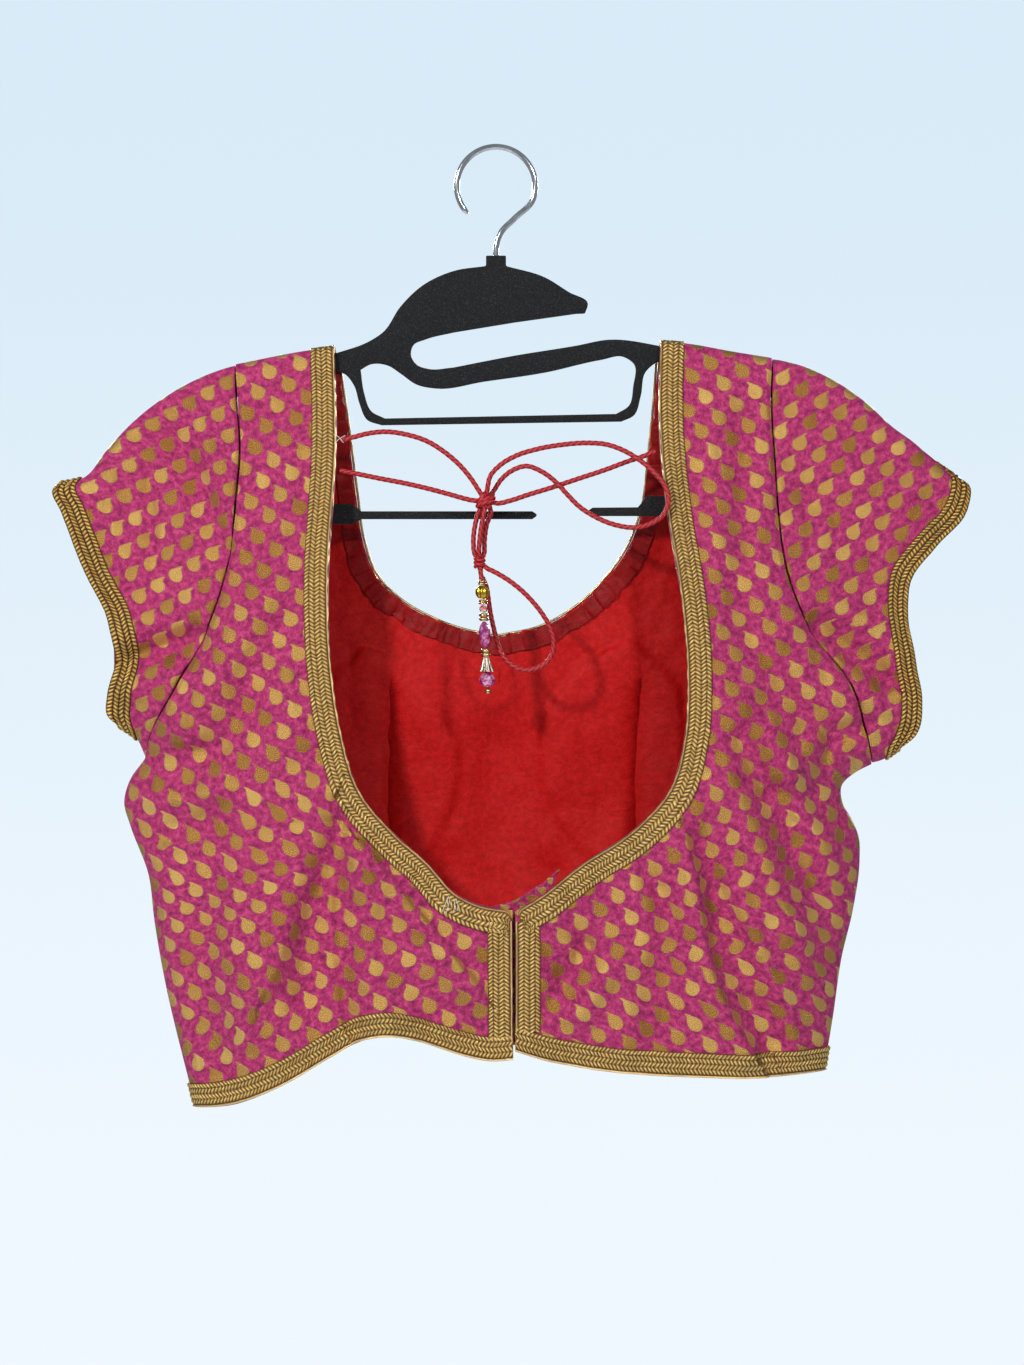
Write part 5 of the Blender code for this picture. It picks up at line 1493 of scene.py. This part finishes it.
def all_finishes():
    """Every finish by its short name."""
    groups = {"kairi": kairi_group(), "weave": weave_group()}
    made = {name: brocade_finish(name, groups) for name in GRAIN}
    made["lining"] = lining_finish("red_lining", (0.30, 0.0008, 0.001), (0.47, 0.0025, 0.003),
                                   (0.62, 0.010, 0.010), 0.62, groups)
    made["facing"] = lining_finish("red_facing", (0.13, 0.0006, 0.001), (0.25, 0.0018, 0.003),
                                   (0.36, 0.006, 0.008), 0.5, groups)
    made["braid"] = braid_finish("gold_braid", (0.09, 0.030, 0.008), (0.48, 0.285, 0.075), (0.86, 0.66, 0.27),
                                 (0.78, 0.55, 0.27), groups)
    made["cuff"] = braid_finish("dark_gold_braid", (0.045, 0.012, 0.003), (0.42, 0.22, 0.04),
                                (0.88, 0.64, 0.22), (0.70, 0.45, 0.18), groups)
    made["piping"] = metal_finish("gold_piping", (0.45, 0.26, 0.10), (0.80, 0.58, 0.30), 0.38, 1.8, 0.15)
    made["gold"] = metal_finish("worn_gold", (0.42, 0.26, 0.10), (0.85, 0.62, 0.32), 0.24, 0.9, 0.1)
    made["ball"] = metal_finish("yellow_gold", (0.45, 0.26, 0.02), (0.78, 0.55, 0.06), 0.28, 0.8, 0.1)
    made["steel"] = metal_finish("steel", (0.35, 0.35, 0.35), (0.6, 0.6, 0.6), 0.3, 0.8, 0.05)
    made["chrome"] = metal_finish("chrome", (0.55, 0.55, 0.56), (0.68, 0.68, 0.70), 0.12, 0.2, 0.02)
    made["silver"] = metal_finish("aged_silver", (0.16, 0.12, 0.10), (0.62, 0.54, 0.46), 0.3, 1.2, 0.2)
    made["pink"] = bead_finish("pink_glass", (0.22, 0.03, 0.22), (0.62, 0.06, 0.30), (0.82, 0.45, 0.62), 0.45)
    made["crystal"] = bead_finish("clear_red_glass", (0.45, 0.01, 0.02), (0.70, 0.30, 0.32),
                                  (0.92, 0.86, 0.86), 0.2)
    made["cord"] = cord_finish()
    made["black"] = flock_finish()
    made["thread"] = thread_finish()
    return made


# ---------------------------------------------------------------- the room


def area_light(name, place, size, power):
    """A round lamp turned to the blouse."""
    light = bpy.data.lights.new(name, "AREA")
    light.shape, light.size, light.energy, light.color = "DISK", size, power, LAMP_COLOUR
    obj = bpy.data.objects.new(name, light)
    bpy.context.scene.collection.objects.link(obj)
    obj.location = place
    obj.rotation_euler = (Vector(LAMP_AIM) - Vector(place)).to_track_quat("-Z", "Y").to_euler()
    return obj


def room():
    """A pale room: the world's tone runs from pale blue above to near white below, over a pale floor; two
    soft lamps stand before the blouse and two behind it."""
    world = bpy.data.worlds.new("pale_room")
    bpy.context.scene.world = world
    world.use_nodes = True
    n = Nodes(world.node_tree)
    split = n.add("ShaderNodeSeparateXYZ", {0: n.add("ShaderNodeTexCoord", {}, 0)}, 0).node
    height = n.smooth(split.outputs[2], -0.2, 0.2)
    sky = n.ramp(height, (0.0, (0.871, 0.939, 1.0)), (1.0, (0.694, 0.831, 0.938)))
    background = world.node_tree.nodes["Background"]
    world.node_tree.links.new(sky, background.inputs["Color"])
    seen = n.add("ShaderNodeLightPath", {}, 0)
    strength = n.math("ADD", ROOM_GLOW, n.math("MULTIPLY", seen, 1 - ROOM_GLOW))
    world.node_tree.links.new(strength, background.inputs["Strength"])
    for name, place, size, power in LAMPS:
        area_light(name, place, size, power)

    floor = bpy.data.meshes.new("floor")
    turn = np.linspace(0, 2 * np.pi, 96, endpoint=False)
    rim = np.stack([FLOOR_RADIUS * np.cos(turn), FLOOR_RADIUS * np.sin(turn), np.full(96, FLOOR_LEVEL)], -1)
    floor.from_pydata(rim.tolist(), [], [list(range(96))])
    obj = bpy.data.objects.new("floor", floor)
    bpy.context.scene.collection.objects.link(obj)
    floor.materials.append(new_finish("pale_floor", lambda n: {
        "Base Color": n.ramp(n.noise(n.add("ShaderNodeTexCoord", {}, 3), 3.0), (0.3, (0.80, 0.85, 0.89)),
                             (0.7, (0.84, 0.88, 0.92)))}, Roughness=0.8))


def camera():
    """The camera faces the open back straight on, 1.8 m away."""
    lens = bpy.data.cameras.new("camera")
    lens.lens, lens.sensor_width, lens.clip_start = LENS, SENSOR_WIDTH, 0.01
    obj = bpy.data.objects.new("camera", lens)
    bpy.context.scene.collection.objects.link(obj)
    obj.location, obj.rotation_euler = CAMERA_PLACE, (np.pi / 2, 0, 0)
    bpy.context.scene.camera = obj
    bpy.context.scene.view_settings.view_transform = "Standard"


def declare_cords(made, paths, beads):
    """For each free stretch of cord: its real length, its free end and the short tails, knots and tassel that
    go with it, worked out and then left unused.
    """
    exits = {"tie_cord_left_upper": 0, "tie_cord_left_lower": 0, "tie_cord_right": -1, "tie_cord_loop": 0,
             "tie_cord_curl": 0}
    with_pieces = {
        "tie_cord_left_upper": [made["bow_knot"]],
        "tie_cord_left_lower": [made[f"tie_cord_tail_{k}"] for k in (1, 2, 3)] + [made["lower_knot"]],
        "tie_cord_curl": [made["tie_cord_drop"], *beads],
    }
    for name, end in exits.items():
        path = paths[name] * MM
        length = line_length(path)
        tuple(path[end])
        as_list(with_pieces.get(name, []))


def main():
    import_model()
    camera()
    finish = all_finishes()
    made, paths = tie_cords(finish["cord"], finish["thread"])
    beads = tassel({
        "tassel_ring_1": (finish["gold"], "gold_metal"), "tassel_ball": (finish["ball"], "gold_metal"),
        "tassel_ring_2": (finish["gold"], "gold_metal"), "tassel_crystal": (finish["crystal"], "crystal"),
        "tassel_ring_3": (finish["gold"], "gold_metal"), "tassel_long_bead": (finish["pink"], "pink_bead"),
        "tassel_ring_4": (finish["gold"], "gold_metal"), "tassel_cap": (finish["silver"], "gold_metal"),
        "tassel_drop_bead": (finish["pink"], "pink_bead"), "tassel_tip": (finish["gold"], "gold_metal"),
    })
    declare_cords(made, paths, beads)
    body = hanger(finish["black"], finish["chrome"])

    cut = {"back_left": (0.21, 0.43, 0.0445), "back_right": (0.20, 0.42, 0.0436)}
    for hand in ("left", "right"):
        neck = piece(neck_braid(hand, finish["braid"]), "neck_braid_" + hand, slot="gold_braid")
        placket = piece(placket_braid(hand, finish["braid"]), "placket_braid_" + hand, slot="gold_braid")
        edge = closed_cloth(f"hem_braid_{hand}_plaited", [hem_patch(hand, "back")], finish["braid"],
                            marks=("stitch", "edging"))
        edge = piece(edge, "hem_braid_" + hand, slot="gold_braid")
        panel = piece(back_panel(hand, finish["back_" + hand]), "back_" + hand, slot="brocade")
        width, length, area = cut["back_" + hand]
        lining = piece(back_lining_cloth(hand, finish["lining"]), "back_lining_" + hand, slot="red_lining")
        cuff = piece(cuff_braid(hand, finish["cuff"]), "cuff_braid_" + hand, slot="gold_braid")
        sleeve = piece(sleeve_cloth(hand, finish["sleeve_" + hand]), "sleeve_" + hand, slot="brocade")

    patches = [hem_patch(hand, "front") for hand in ("left", "right")]
    edge = closed_cloth("hem_braid_front_plaited", patches, finish["braid"], marks=("stitch", "edging"))
    edge = piece(edge, "hem_braid_front", slot="gold_braid")
    front = piece(front_cloth(finish["front"]), "front", slot="brocade")
    piping = piece(front_neck_piping_cord(finish["piping"]), "front_neck_piping", slot="gold_piping")
    lining = piece(front_lining_cloth(finish["lining"]), "front_lining", slot="red_lining")
    facing = piece(front_neck_facing_cloth(finish["facing"]), "front_neck_facing", slot="red_facing")
    underlap = piece(underlap_cloth(finish["back_right"]), "placket_underlap", slot="brocade")
    hooks(finish["steel"])
    room()


main()
